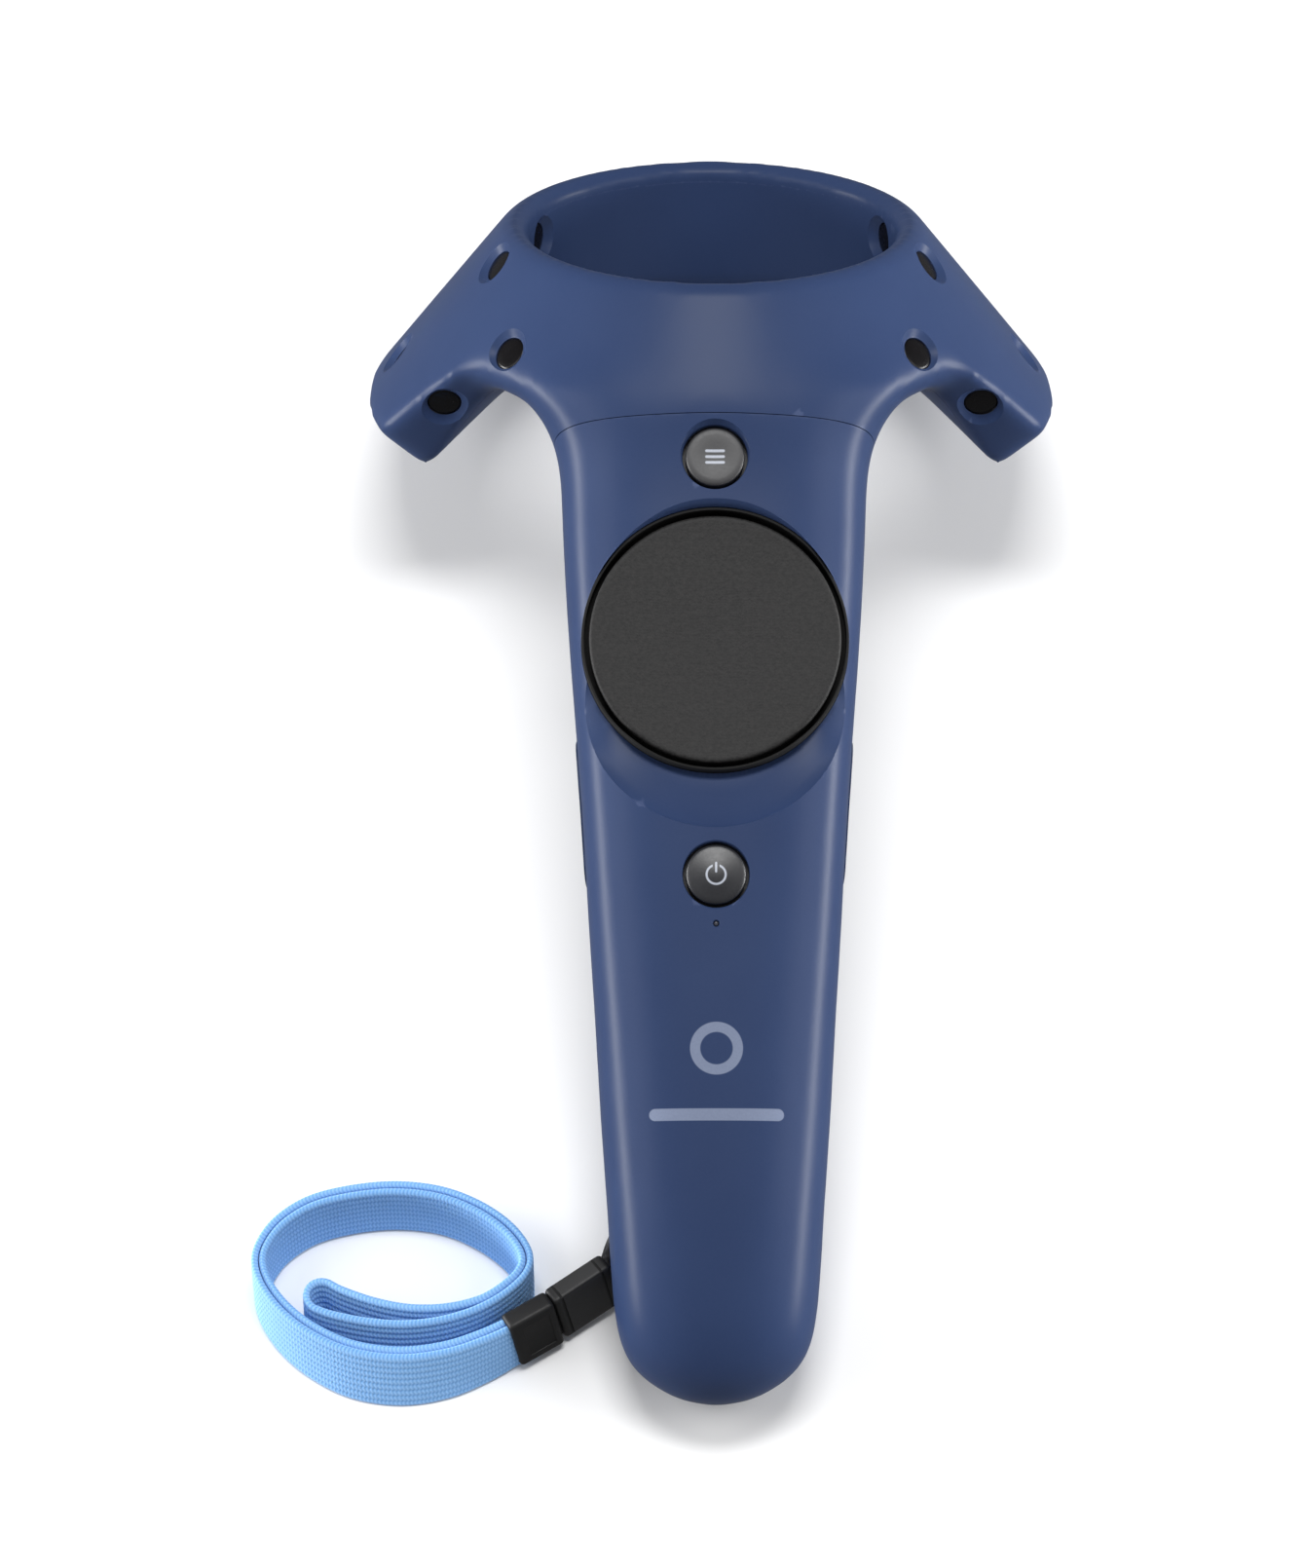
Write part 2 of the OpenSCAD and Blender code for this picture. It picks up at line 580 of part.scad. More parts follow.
head_outer_shell();
head_inner_shell();
handle_front_cover();
handle_rear_cover();
trackpad_bezel();
trackpad_cap();
trackpad_board();
trackpad_switch();
menu_button();
menu_switch();
system_button();
system_switch();
status_light();
trigger();
trigger_magnet();
trigger_pin();
trigger_bracket();
trigger_spring();
trigger_switch();
trigger_sensor();
left_grip_button();
right_grip_button();
left_grip_switch();
right_grip_switch();
outer_sensor_windows();
inner_sensor_windows();
end_sensor_windows();
sensor_cells();
sensor_flex();
inner_frame();
main_board();
board_screws();
case_screws();
radio_shield();
antenna();
battery();
haptic_actuator();
usb_board();
usb_socket();
lanyard_anchor();
strap_cord();
strap_connector();
strap_end_clip();
strap_webbing();
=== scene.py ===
"""Looks of a virtual-reality motion controller lying on a table with its trackpad up."""

import math

import bpy
from mathutils import Matrix, Vector
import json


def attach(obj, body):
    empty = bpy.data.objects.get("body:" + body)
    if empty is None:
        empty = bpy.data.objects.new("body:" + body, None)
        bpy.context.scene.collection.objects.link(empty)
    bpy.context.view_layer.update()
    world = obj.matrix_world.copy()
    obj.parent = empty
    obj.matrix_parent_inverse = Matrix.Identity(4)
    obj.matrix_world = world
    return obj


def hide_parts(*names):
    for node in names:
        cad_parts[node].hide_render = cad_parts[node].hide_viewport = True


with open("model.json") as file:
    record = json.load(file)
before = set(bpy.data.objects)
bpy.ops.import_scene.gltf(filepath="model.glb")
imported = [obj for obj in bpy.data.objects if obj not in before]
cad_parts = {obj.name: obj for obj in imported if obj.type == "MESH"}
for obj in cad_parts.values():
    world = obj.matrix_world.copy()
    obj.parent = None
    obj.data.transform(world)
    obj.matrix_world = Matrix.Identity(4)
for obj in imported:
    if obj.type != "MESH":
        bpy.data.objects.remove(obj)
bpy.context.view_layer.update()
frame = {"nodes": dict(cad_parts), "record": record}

MM = 0.001
TILT = math.radians(16.7)
# The wand's own frame starts at the butt: X right, Y to the head, Z out of the trackpad
BUTT_Y, BUTT_Z = -114.27, 22.2
WAND = Matrix.Translation((0, BUTT_Y * MM, BUTT_Z * MM)) @ Matrix.Rotation(TILT, 4, "X")
WALL = 2
# Half the gap between two casings, in millimetres, and the edge too short to keep, in metres
SEAM = 0.07
SLIVER = 8e-6

# ---- Camera ----
CAMERA_AT, CAMERA_TARGET = Vector((-0.0101, -0.3359, 0.6754)), Vector((-0.0101, -0.0214, 0.0501))
bpy.ops.object.camera_add(location=CAMERA_AT)
camera = bpy.context.object
camera.rotation_euler = (CAMERA_TARGET - camera.location).to_track_quat("-Z", "Y").to_euler()
camera.data.lens = 101.6
camera.data.sensor_width = 36
camera.data.clip_start = 0.01
bpy.context.scene.camera = camera


# ---- Working by hand ----
def only(obj):
    """Select this object alone."""
    bpy.ops.object.select_all(action="DESELECT")
    obj.select_set(True)
    bpy.context.view_layer.objects.active = obj


def fresh():
    """Leave nothing selected, ready for a new primitive."""
    bpy.ops.object.select_all(action="DESELECT")


def named(obj, name):
    obj.name = obj.data.name = name
    return obj


def added(name):
    """Name the object that the last operator made."""
    return named(bpy.context.object, name)


def edit(obj):
    """Go into edit mode with every vertex selected."""
    only(obj)
    bpy.ops.object.mode_set(mode="EDIT")
    bpy.ops.mesh.select_mode(type="VERT")
    bpy.ops.mesh.select_all(action="SELECT")


def leave():
    bpy.ops.object.mode_set(mode="OBJECT")


def outward(obj, merge=1e-6):
    """Merge doubles and turn every face outwards."""
    edit(obj)
    bpy.ops.mesh.remove_doubles(threshold=merge)
    bpy.ops.mesh.normals_make_consistent(inside=False)
    leave()
    return obj


def settle(obj, matrix=WAND):
    """Move a piece from its working frame into the row's, and apply it."""
    only(obj)
    obj.matrix_world = matrix @ obj.matrix_world
    bpy.ops.object.transform_apply(location=True, rotation=True, scale=True)
    return obj


def modify(obj, kind, **settings):
    """Add a modifier and apply it."""
    only(obj)
    modifier = obj.modifiers.new(kind.title(), kind)
    for key, value in settings.items():
        setattr(modifier, key, value)
    bpy.ops.object.modifier_apply(modifier=modifier.name)
    return obj


def cut(obj, tool, how="DIFFERENCE", keep=False):
    """Take a tool from a piece, or join or intersect the two, and drop the tool."""
    modify(obj, "BOOLEAN", object=tool, operation=how, solver="MANIFOLD")
    if not keep:
        bpy.data.objects.remove(tool, do_unlink=True)
    return obj


def copy(obj, name):
    twin = obj.copy()
    twin.data = obj.data.copy()
    bpy.context.scene.collection.objects.link(twin)
    return named(twin, name)


def join(name, pieces):
    """Make one object of several."""
    fresh()
    for piece in pieces:
        piece.select_set(True)
    bpy.context.view_layer.objects.active = pieces[0]
    bpy.ops.object.join()
    return added(name)


def smooth(obj, angle=35):
    only(obj)
    bpy.ops.object.shade_smooth_by_angle(angle=math.radians(angle))
    return obj


def block(name, low, high, bevel=0, segments=3):
    """A box between two corners in millimetres, its edges bevelled."""
    fresh()
    low, high = Vector(low), Vector(high)
    bpy.ops.mesh.primitive_cube_add(size=1, location=(low + high) / 2 * MM)
    obj = added(name)
    obj.scale = (high - low) * MM
    bpy.ops.object.transform_apply(location=True, rotation=True, scale=True)
    if bevel:
        modify(obj, "BEVEL", width=bevel * MM, segments=segments, limit_method="ANGLE")
    return obj


def turned(name, profile, steps=64, matrix=None):
    """Turn a profile of (radius, height) in millimetres about Z by extruding a circle up it."""
    fresh()
    r, h = profile[0]
    bpy.ops.mesh.primitive_circle_add(vertices=steps, radius=r * MM, location=(0, 0, h * MM),
                                      fill_type="NGON")
    obj = added(name)
    bpy.ops.object.transform_apply(location=True, rotation=True, scale=True)
    edit(obj)
    for new_r, new_h in profile[1:]:
        bpy.ops.mesh.extrude_region_move()
        grow = max(new_r, 0.001) / r
        bpy.ops.transform.resize(value=(grow, grow, 1), center_override=(0, 0, h * MM))
        bpy.ops.transform.translate(value=(0, 0, (new_h - h) * MM))
        r, h = max(new_r, 0.001), new_h
    leave()
    outward(obj, 2e-6)
    if matrix is not None:
        settle(obj, matrix)
    return obj


def at(x, y, z):
    """The frame moved to a place in millimetres."""
    return Matrix.Translation(Vector((x, y, z)) * MM)


def facing(point, normal):
    """A frame at a point in millimetres with Z along a normal."""
    return at(*point) @ Vector(normal).to_track_quat("Z", "Y").to_matrix().to_4x4()


def catmull(points, count):
    """A smooth line through points, with count steps between each two."""
    line = []
    for i in range(len(points) - 1):
        p0, p1 = points[max(i - 1, 0)], points[i]
        p2, p3 = points[i + 1], points[min(i + 2, len(points) - 1)]
        for k in range(count):
            t = k / count
            line.append([0.5 * (2 * b + (c - a) * t + (2 * a - 5 * b + 4 * c - d) * t * t
                                + (3 * b - a - 3 * c + d) * t ** 3)
                         for a, b, c, d in zip(p0, p1, p2, p3)])
    line.append(list(points[-1]))
    return line


def tube(name, route, radius, sides=12):
    """A round tube along points in millimetres, from a grid rolled round the route."""
    count = len(route)
    fresh()
    bpy.ops.mesh.primitive_grid_add(x_subdivisions=sides, y_subdivisions=count - 1, size=2)
    obj = added(name)
    points = [Vector(p) for p in route]
    frames = []
    # Any way that no part of the route runs along
    up = Vector((0.3, 0.2, 1))
    for j, point in enumerate(points):
        along = (points[min(j + 1, count - 1)] - points[max(j - 1, 0)]).normalized()
        up = (up - up.dot(along) * along).normalized()
        frames.append((point, up, along.cross(up)))
    for vertex in obj.data.vertices:
        i = round((vertex.co.x + 1) / 2 * sides)
        j = round((vertex.co.y + 1) / 2 * (count - 1))
        point, one, two = frames[j]
        angle = 2 * math.pi * i / sides
        vertex.co = (point + radius * (math.cos(angle) * one + math.sin(angle) * two)) * MM
    edit(obj)
    bpy.ops.mesh.remove_doubles(threshold=1e-7)
    bpy.ops.mesh.fill_holes(sides=0)
    bpy.ops.mesh.normals_make_consistent(inside=False)
    leave()
    return obj


# ---- Strap ----
STRAP_W, STRAP_FLOOR = 10.5, 0.1
# Foot line of the strap on the table, from inside the clip to the fold, with its lean in degrees
# towards +Y
STRAP_ROUTE = [(-28.9, -97.8, 16), (-32, -99.7, 18), (-36.6, -102.5, 22), (-42.7, -105.2, 26),
               (-50, -106.4, 28), (-57.6, -105.3, 28), (-64, -102.1, 26), (-68.8, -98, 24),
               (-72, -93.3, 22), (-73, -88.9, 20), (-71.4, -84.6, 18), (-68.4, -81.3, 17),
               (-64, -78.7, 16), (-57.5, -77, 15), (-50.8, -76.5, 15), (-44, -77.4, 15),
               (-38.2, -79.9, 16), (-33.6, -83.3, 17), (-30.8, -87, 18), (-30.3, -90.2, 20),
               (-32.2, -93.4, 22), (-36.6, -96.9, 24), (-42.3, -99, 25), (-48.5, -99.6, 25),
               (-54.5, -98.9, 25), (-60, -97.4, 25), (-62.6, -96.3, 25)]
RIBS, RIB_STEPS, RIB_DEPTH = 9, 6, 0.11
LAYER_T = 1.15
# Layers lie this far each side of the middle, and further by FOLD_GAP at the fold, over OPENING
LAYER_GAP, FOLD_GAP, OPENING = 0.62, 1.75, 27
FOLD_STEPS = 18


def strap_lines():
    """The middle line of the doubled strap, and the webbing's foot line out, round the fold and
    back, with its way up the width."""
    foot, ups = [], []
    for x, y, lean in catmull(STRAP_ROUTE, 6):
        foot.append(Vector((x, y, STRAP_FLOOR)))
        lean = math.radians(lean)
        ups.append(STRAP_W * Vector((0, math.sin(lean), math.cos(lean))))
    count = len(foot)
    lengths = [0]
    for a, b in zip(foot, foot[1:]):
        lengths.append(lengths[-1] + (b - a).length)
    total = lengths[-1]
    out, back = [], []
    for j, point in enumerate(foot):
        along = (foot[min(j + 1, count - 1)] - foot[max(j - 1, 0)]).normalized()
        side = Vector((-along.y, along.x, 0))
        opening = max(0, 1 - (total - lengths[j]) / OPENING)
        apart = LAYER_GAP + FOLD_GAP * opening ** 1.15
        out.append((point + apart * side, ups[j]))
        back.append((point - apart * side, ups[j]))
    along = (foot[-1] - foot[-2]).normalized()
    side = Vector((-along.y, along.x, 0))
    fold_r = LAYER_GAP + FOLD_GAP
    turn = [(foot[-1] + fold_r * (math.cos(a) * side + 1.1 * math.sin(a) * along), ups[-1])
            for a in [math.pi * k / FOLD_STEPS for k in range(1, FOLD_STEPS)]]
    middle = [(p + up / 2) * MM for p, up in zip(foot, ups)]
    return middle, out + turn + back[::-1]


def rib_profile():
    """The webbing's outline: across its thickness in millimetres, and up its width from 0 to 1."""
    outline = []
    steps = RIBS * RIB_STEPS
    for face in (1, -1):
        for k in range(steps + 1):
            up = k / steps if face > 0 else 1 - k / steps
            edge = (1 - abs(2 * up - 1) ** 22) ** 0.5
            rib = 0.5 - 0.5 * math.cos(2 * math.pi * up * RIBS)
            half_t = LAYER_T / 2 - RIB_DEPTH + RIB_DEPTH * rib ** 0.6
            outline.append((face * edge * half_t, up))
    return outline


def make_webbing():
    """The webbing: a grid laid along the route, its rows bent to the ribbed outline."""
    middle, route = strap_lines()
    outline = rib_profile()
    rows, columns = len(route), len(outline)
    fresh()
    bpy.ops.mesh.primitive_grid_add(x_subdivisions=columns, y_subdivisions=rows - 1, size=2,
                                    calc_uvs=True)
    obj = added("strap_webbing_loop")
    sides, lengths = [], [0]
    for j in range(rows):
        along = (route[min(j + 1, rows - 1)][0] - route[max(j - 1, 0)][0]).normalized()
        sides.append(Vector((-along.y, along.x, 0)))
        if j:
            lengths.append(lengths[-1] + (route[j][0] - route[j - 1][0]).length)
    places = {}
    for vertex in obj.data.vertices:
        i = round((vertex.co.x + 1) / 2 * columns)
        j = round((vertex.co.y + 1) / 2 * (rows - 1))
        across, up = outline[i % columns]
        places[vertex.index] = (i, j)
        foot, way_up = route[j]
        vertex.co = (foot + across * sides[j] + up * way_up) * MM
    layer = obj.data.uv_layers.active
    layer.name = "weave"
    for loop in obj.data.loops:
        i, j = places[loop.vertex_index]
        layer.data[loop.index].uv = (i / columns, lengths[j] / lengths[-1])
    edit(obj)
    bpy.ops.mesh.remove_doubles(threshold=1e-7)
    bpy.ops.mesh.fill_holes(sides=0)
    bpy.ops.mesh.normals_make_consistent(inside=False)
    leave()
    smooth(obj, 60)
    return obj, middle, lengths[-1]


CLIP_LEAN = math.radians(90 - 18)
CLIP_L, CLIP_W, CLIP_T = 8.1, 10.7, 3.6
CONNECTOR_L, CONNECTOR_W, CONNECTOR_T = 11, 10.2, 3.6
GROOVE_W, GROOVE_DEPTH = 0.45, 0.22


def leaning(at_x, at_y, yaw):
    """The frame of a box on the table that leans back about its lower edge."""
    return (at(at_x, at_y, STRAP_FLOOR) @ Matrix.Rotation(math.radians(yaw), 4, "Z")
            @ Matrix.Rotation(CLIP_LEAN, 4, "X"))


def make_clip():
    """The moulded clip: a squared sleeve with a rolled mouth, a shallow panel and a rounded back."""
    clip = block("strap_clip", (0, 0, 0), (CLIP_L, CLIP_W, CLIP_T), 0.75, 5)
    cut(clip, block("mouth", (-1, 0.75, 0.6), (0.9, CLIP_W - 0.75, CLIP_T - 0.6), 0.2, 2))
    cut(clip, block("panel", (2, 1.7, CLIP_T - 0.16), (CLIP_L - 1.3, CLIP_W - 1.7, CLIP_T + 1),
                    0.12, 2))
    return smooth(settle(clip, leaning(-32.6, -98.4, 31)), 40)


def make_connector():
    """The connector behind the clip, with a narrow neck into it and a groove round its end."""
    body = block("strap_connector_body", (0, 0, 0), (CONNECTOR_L, CONNECTOR_W, CONNECTOR_T), 0.8, 5)
    for x in (1.3, 9.0):
        end = (x + GROOVE_W, CONNECTOR_W + 1, CONNECTOR_T + 1)
        cut(body, block("groove", (x, -1, CONNECTOR_T - GROOVE_DEPTH), end))
        cut(body, block("groove", (x, CONNECTOR_W - GROOVE_DEPTH, -1), end))
    neck = block("neck", (-1.4, 0.9, 0.7), (1, CONNECTOR_W - 0.9, CONNECTOR_T - 0.7), 0.3, 2)
    cut(body, neck, "UNION")
    return smooth(settle(body, leaning(-25.75, -93.8, 35)), 40)


# The thin cord, out of the connector, round the bar in the butt and back
CORD_ROUTE = [(-18.5, 19.5, -23.3), (-17.8, 22.4, -23.5), (-16.9, 25.3, -22.6),
              (-16.4, 26.4, -21.2), (-15.9, 26.9, -19.1), (-14.2, 27.1, -18.3), (-12.4, 27, -19.2),
              (-11.9, 26.9, -21), (-12.9, 26.6, -22.7), (-14.4, 26, -23.6), (-15.8, 24, -24.7),
              (-17, 21.8, -25), (-18.2, 19.7, -24.9)]
CORD_R = 0.9
webbing, strap_middle, webbing_length = make_webbing()
clip = make_clip()
connector = make_connector()
lanyard = smooth(settle(tube("strap_lanyard_cord", catmull(CORD_ROUTE, 6), CORD_R)), 60)
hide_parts("strap_webbing")
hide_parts("strap_end_clip")
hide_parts("strap_connector")
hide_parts("strap_cord")
strap_length = sum((b - a).length for a, b in zip(strap_middle, strap_middle[1:]))

# ---- Shape of the casings, in the wand's frame ----
RING_TILT = math.radians(35)
HOLE_R, LIP_R, LOBE_R, FAR_R = 31, 35.5, 59.3, 45.8
AXIS = Vector((0, math.cos(RING_TILT), math.sin(RING_TILT)))
FAR = Vector((0, math.sin(RING_TILT), -math.cos(RING_TILT)))
RING_CENTRE = Vector((0, 198, -28.5))
LIP_H, SKIRT_H, LOW_H = 0.8, -30.6, -38
BAND_R, BAND_H, BAND_LOW_R, BAND_LOW_H, HOLE_LOW_H = 48.4, -16.5, 44, -21, -20
# The skirt grows out of the band between these angles from the handle, in degrees
NOTCH_START, NOTCH_END = 57, 71
SQUARENESS = 2.6
SEAM_Y, SEAM_LEAN = 157, math.radians(11.3)
PARTING_Z = -14
PAD_R, PAD_GAP, PAD_Y, PAD_DEPTH = 20.15, 1.35, 120.9, 1.9
BUTTON_R, BUTTON_GAP, MENU_Y, SYSTEM_Y = 4.75, 0.5, 150.2, 82.5
LIGHT_Y, LIGHT_R = 74.7, 0.42
SCREWS = [(0, 25), (16.5, 138), (-16.5, 138)]
GRIP_L, GRIP_H, GRIP_Y, GRIP_Z = 25, 9, 95, -18.8
SCOOP_SHIFT = 9.9
TRIGGER_W, PIVOT_Y, PIVOT_Z = 13, 146.5, -21.5
# Handle sections: place, half width, front, back, squareness
HANDLE = [(0, 2, -11.5, -15.5, 2), (0.6, 5, -9, -18, 2), (2, 8.2, -6.5, -21, 2.1),
          (4, 11.2, -4.4, -23.4, 2.2), (6.5, 13.6, -2.9, -25.2, 2.3),
          (10, 15.2, -1.6, -26.5, 2.4), (15, 16.1, -0.8, -27.2, 2.5),
          (22, 16.7, -0.3, -27.4, 2.6), (30, 17.2, 0, -27.4, 2.7), (45, 18.3, 0, -27, 2.7),
          (60, 19.2, 0, -26.6, 2.8), (75, 20.2, 0, -26.4, 2.9), (90, 21.1, 0, -26.4, 3),
          (105, 22.2, 0, -26.8, 3), (120, 23.4, 0, -27.4, 3), (132, 24.2, 0, -28, 3),
          (142, 24.7, 0, -28.2, 2.9), (149, 25.1, 0.2, -27.6, 2.8), (153, 25.6, 0.6, -26, 2.7),
          (156, 26.6, 0.9, -24.2, 2.6), (159, 28.2, 1, -22.4, 2.5), (162, 30.6, 0.8, -22, 2.4),
          (165, 32.6, 0, -23, 2.3)]


def lerp(a, b, t):
    return a + (b - a) * t


def ramp(value, start, end):
    """0 at the start, 1 at the end and held beyond them."""
    return min(1, max(0, (value - start) / (end - start)))


def ring_point(phi, r, h):
    """A point round the ring's axis, with phi from the right towards the far side."""
    return (RING_CENTRE + r * math.cos(phi) * Vector((1, 0, 0)) + r * math.sin(phi) * FAR
            + h * AXIS)


def oval(phi, side, far):
    """Radius of the skirt: round on the handle's side, a squared oval on the far side."""
    if math.sin(phi) <= 0:
        return side
    return ((abs(math.cos(phi)) / side) ** SQUARENESS
            + (math.sin(phi) / far) ** SQUARENESS) ** (-1 / SQUARENESS)


def ring_section(phi):
    """The ring's outline as (radius, height), from the foot of the hole's wall."""
    from_handle = abs((math.degrees(phi) + 90 + 180) % 360 - 180)
    s = ramp(from_handle, NOTCH_START, NOTCH_END) ** 1.35
    return [Vector(p) for p in (
        (HOLE_R, HOLE_LOW_H),
        (lerp(BAND_LOW_R, oval(phi, LOBE_R - 8.5, FAR_R - 9.3), s), lerp(BAND_LOW_H, LOW_H, s)),
        (lerp(BAND_R, oval(phi, LOBE_R, FAR_R), s), lerp(BAND_H, SKIRT_H, s)),
        (LIP_R, -0.5), ((HOLE_R + LIP_R) / 2, LIP_H), (HOLE_R, -0.8))]


def inset(outline, d):
    """Move every edge of an outline inwards by d."""
    moved = []
    for i, b in enumerate(outline):
        u = (b - outline[i - 1]).normalized()
        v = (outline[(i + 1) % len(outline)] - b).normalized()
        nu, nv = Vector((-u.y, u.x)), Vector((-v.y, v.x))
        moved.append(b + d * (nu + nv) / (1 + nu.dot(nv)))
    return moved


# Faces across each edge of the ring's outline
EDGE_STEPS = (12, 8, 14, 3, 3, 8)


def ring_body(name, d=0, shape=ring_section, steps=EDGE_STEPS, around=360):
    """The ring: a torus whose every section is drawn out to the ring's own outline."""
    fresh()
    minor = sum(steps)
    bpy.ops.mesh.primitive_torus_add(major_segments=around, minor_segments=minor, major_radius=1,
                                     minor_radius=0.25)
    obj = added(name)
    rows = {}
    for k in range(around):
        phi = 2 * math.pi * k / around
        corners = inset(shape(phi), d) if d else shape(phi)
        rows[k] = [ring_point(phi, *lerp(corners[i], corners[(i + 1) % len(corners)], j / steps[i]))
                   for i in range(len(steps)) for j in range(steps[i])]
    for vertex in obj.data.vertices:
        x, y, z = vertex.co
        k = round(math.atan2(y, x) / (2 * math.pi) * around) % around
        m = round(math.atan2(z, math.hypot(x, y) - 1) / (2 * math.pi) * minor) % minor
        vertex.co = rows[k][m] * MM
    return outward(obj)


def handle_row(y):
    """Half width, front, back and squareness of the handle at a place along it."""
    i = max(k for k in range(len(HANDLE) - 1) if HANDLE[k][0] <= y or k == 0)
    a, b = HANDLE[i], HANDLE[i + 1]
    before, after = HANDLE[max(i - 1, 0)], HANDLE[min(i + 2, len(HANDLE) - 1)]
    span = b[0] - a[0]
    t = min(1, max(0, (y - a[0]) / span))
    values = []
    for k in range(1, 5):
        slope_a = (b[k] - before[k]) / max(b[0] - before[0], 1e-6) * span
        slope_b = (after[k] - a[k]) / max(after[0] - a[0], 1e-6) * span
        values.append(a[k] * (2 * t ** 3 - 3 * t * t + 1) + slope_a * (t ** 3 - 2 * t * t + t)
                      + b[k] * (3 * t * t - 2 * t ** 3) + slope_b * (t ** 3 - t * t))
    return values


def handle_body(name, d=0, sides=96, rows=150, start=0.0):
    """The handle: a sphere drawn out along the wand, each ring of it laid on a handle section."""
    fresh()
    bpy.ops.mesh.primitive_uv_sphere_add(segments=sides, ring_count=rows, radius=1)
    obj = added(name)
    end = HANDLE[-1][0]
    for vertex in obj.data.vertices:
        x, y, z = vertex.co
        row = round(math.acos(max(-1, min(1, z))) / math.pi * rows)
        share = min(1, max(0, (row - 1) / (rows - 2)))
        place = start + (end - start) * share ** 1.5
        half_w, top, low, e = handle_row(place)
        half_w, top, low = half_w - d, top - d, low + d
        if row == 0 or row == rows:
            vertex.co = Vector((0, place, (top + low) / 2)) * MM
            continue
        angle = math.atan2(y, x)
        c, s = math.cos(angle), math.sin(angle)
        across = math.copysign(abs(c) ** (2 / e), c)
        upward = math.copysign(abs(s) ** (2 / e), s)
        vertex.co = Vector((half_w * across, place, lerp(low, top, (1 + upward) / 2))) * MM
    return outward(obj)


def ring_frame():
    """The ring's own frame: Z out of the lip and Y to the far side."""
    turn = Matrix(((1, FAR.x, AXIS.x, 0), (0, FAR.y, AXIS.y, 0), (0, FAR.z, AXIS.z, 0), (0, 0, 0, 1)))
    return at(*RING_CENTRE) @ turn


def hole_plug(d):
    return turned("hole_plug", [(HOLE_R + d, -34 - d), (HOLE_R + d, 20)], 96, ring_frame())


def skin_height(x, y):
    """Height of the handle's front skin in millimetres."""
    half_w, top, low, e = handle_row(y)
    return (top + low) / 2 + (top - low) / 2 * (1 - min(abs(x) / half_w, 0.99) ** e) ** (1 / e)


def scoop(d):
    """The crescent under the trackpad: a round dish pressed into the handle's own skin."""
    dish = turned("scoop", [(7, -4.3 - d), (11, -4.15 - d), (13, -3.7 - d), (15, -2.95 - d),
                            (17, -2.15 - d), (19, -1.3 - d), (20.3, -0.65 - 0.9 * d),
                            (20.9, -0.15 - 0.7 * d), (21.2 + 0.6 * d, 0.6), (21.4 + 0.8 * d, 8)],
                  144, at(0, PAD_Y - SCOOP_SHIFT, 0))
    for vertex in dish.data.vertices:
        x, y, z = vertex.co / MM
        vertex.co.z += skin_height(x, y) * MM
    return dish


def lanyard_notch(d):
    """The room for the lanyard's bar at the butt's left."""
    return block("notch", (-30, 24 - d, -34), (-9.4 + d, 30 + d, -16.6 + d))


def head_zone(shift):
    """All that lies on the head's side of the seam."""
    zone = block("head_zone", (-100, 0, -150), (100, 200, 150))
    zone.matrix_world = at(0, SEAM_Y + shift, 0) @ Matrix.Rotation(-SEAM_LEAN, 4, "X")
    bpy.ops.object.transform_apply(location=True, rotation=True, scale=True)
    return zone


def inner_zone(shift):
    """The space inside the parting line of the two head shells."""
    def outline(phi):
        s = ring_section(phi)
        foot = lerp(s[1], s[0], 0.14)
        u = (s[1] - s[0]).normalized()
        across = 5 * Vector((-u.y, u.x))
        away = shift * u
        return [Vector((20, -2.5)), Vector((20, -60)), foot - across + away, foot + across + away,
                Vector((34, -2.5))]
    return ring_body("inner_zone", 0, outline, (2, 2, 2, 3, 2), 120)


VOXEL = 0.7
SKIN_PASSES, NECK_PASSES, LOBE_PASSES = 14, 150, 60


def make_outer_body():
    """Handle and ring melted into one skin, with the necks between them drawn into fillets."""
    body = cut(handle_body("outer_body"), hole_plug(0.5))
    cut(body, ring_body("ring"), "UNION")
    modify(body, "REMESH", mode="VOXEL", voxel_size=VOXEL * MM, adaptivity=0)
    modify(body, "SMOOTH", factor=0.5, iterations=SKIN_PASSES)
    neck = body.vertex_groups.new(name="neck")
    lobes = body.vertex_groups.new(name="lobes")
    for vertex in body.data.vertices:
        x, y, z = vertex.co / MM
        offset = Vector((x, y, z)) - RING_CENTRE
        h = offset.dot(AXIS)
        r = (offset - h * AXIS).length
        from_handle = abs(math.degrees(math.atan2(offset.dot(FAR), x)) + 90)
        on_neck = (ramp(y, 140, 149) * ramp(y, 186, 176) * ramp(r, LIP_R, LIP_R + 3)
                   * ramp(from_handle, 61, 53))
        far_out = ramp(r, 49, 55)
        for group, weight in ((neck, on_neck), (lobes, far_out)):
            if weight > 0.01:
                group.add([vertex.index], weight, "REPLACE")
    modify(body, "SMOOTH", factor=0.5, iterations=NECK_PASSES, vertex_group="neck")
    modify(body, "SMOOTH", factor=0.5, iterations=LOBE_PASSES, vertex_group="lobes")
    return body


outer_body = make_outer_body()
cavity = cut(handle_body("cavity", WALL, 48, 60, 4), hole_plug(0.5 + WALL))
cut(cavity, scoop(WALL))
cut(cavity, lanyard_notch(WALL))
cut(cavity, ring_body("ring_cavity", WALL, around=120), "UNION")
shell = cut(copy(outer_body, "shell"), cavity)
table = block("table", (-200, -300, -100), (200, 400, 0))
settle(table, WAND.inverted())
cut(shell, table, keep=True)

# ---- Sensors ----
FOOT_EDGE, LOW_EDGE, CONE_EDGE, BORE_EDGE = 0, 1, 2, 5
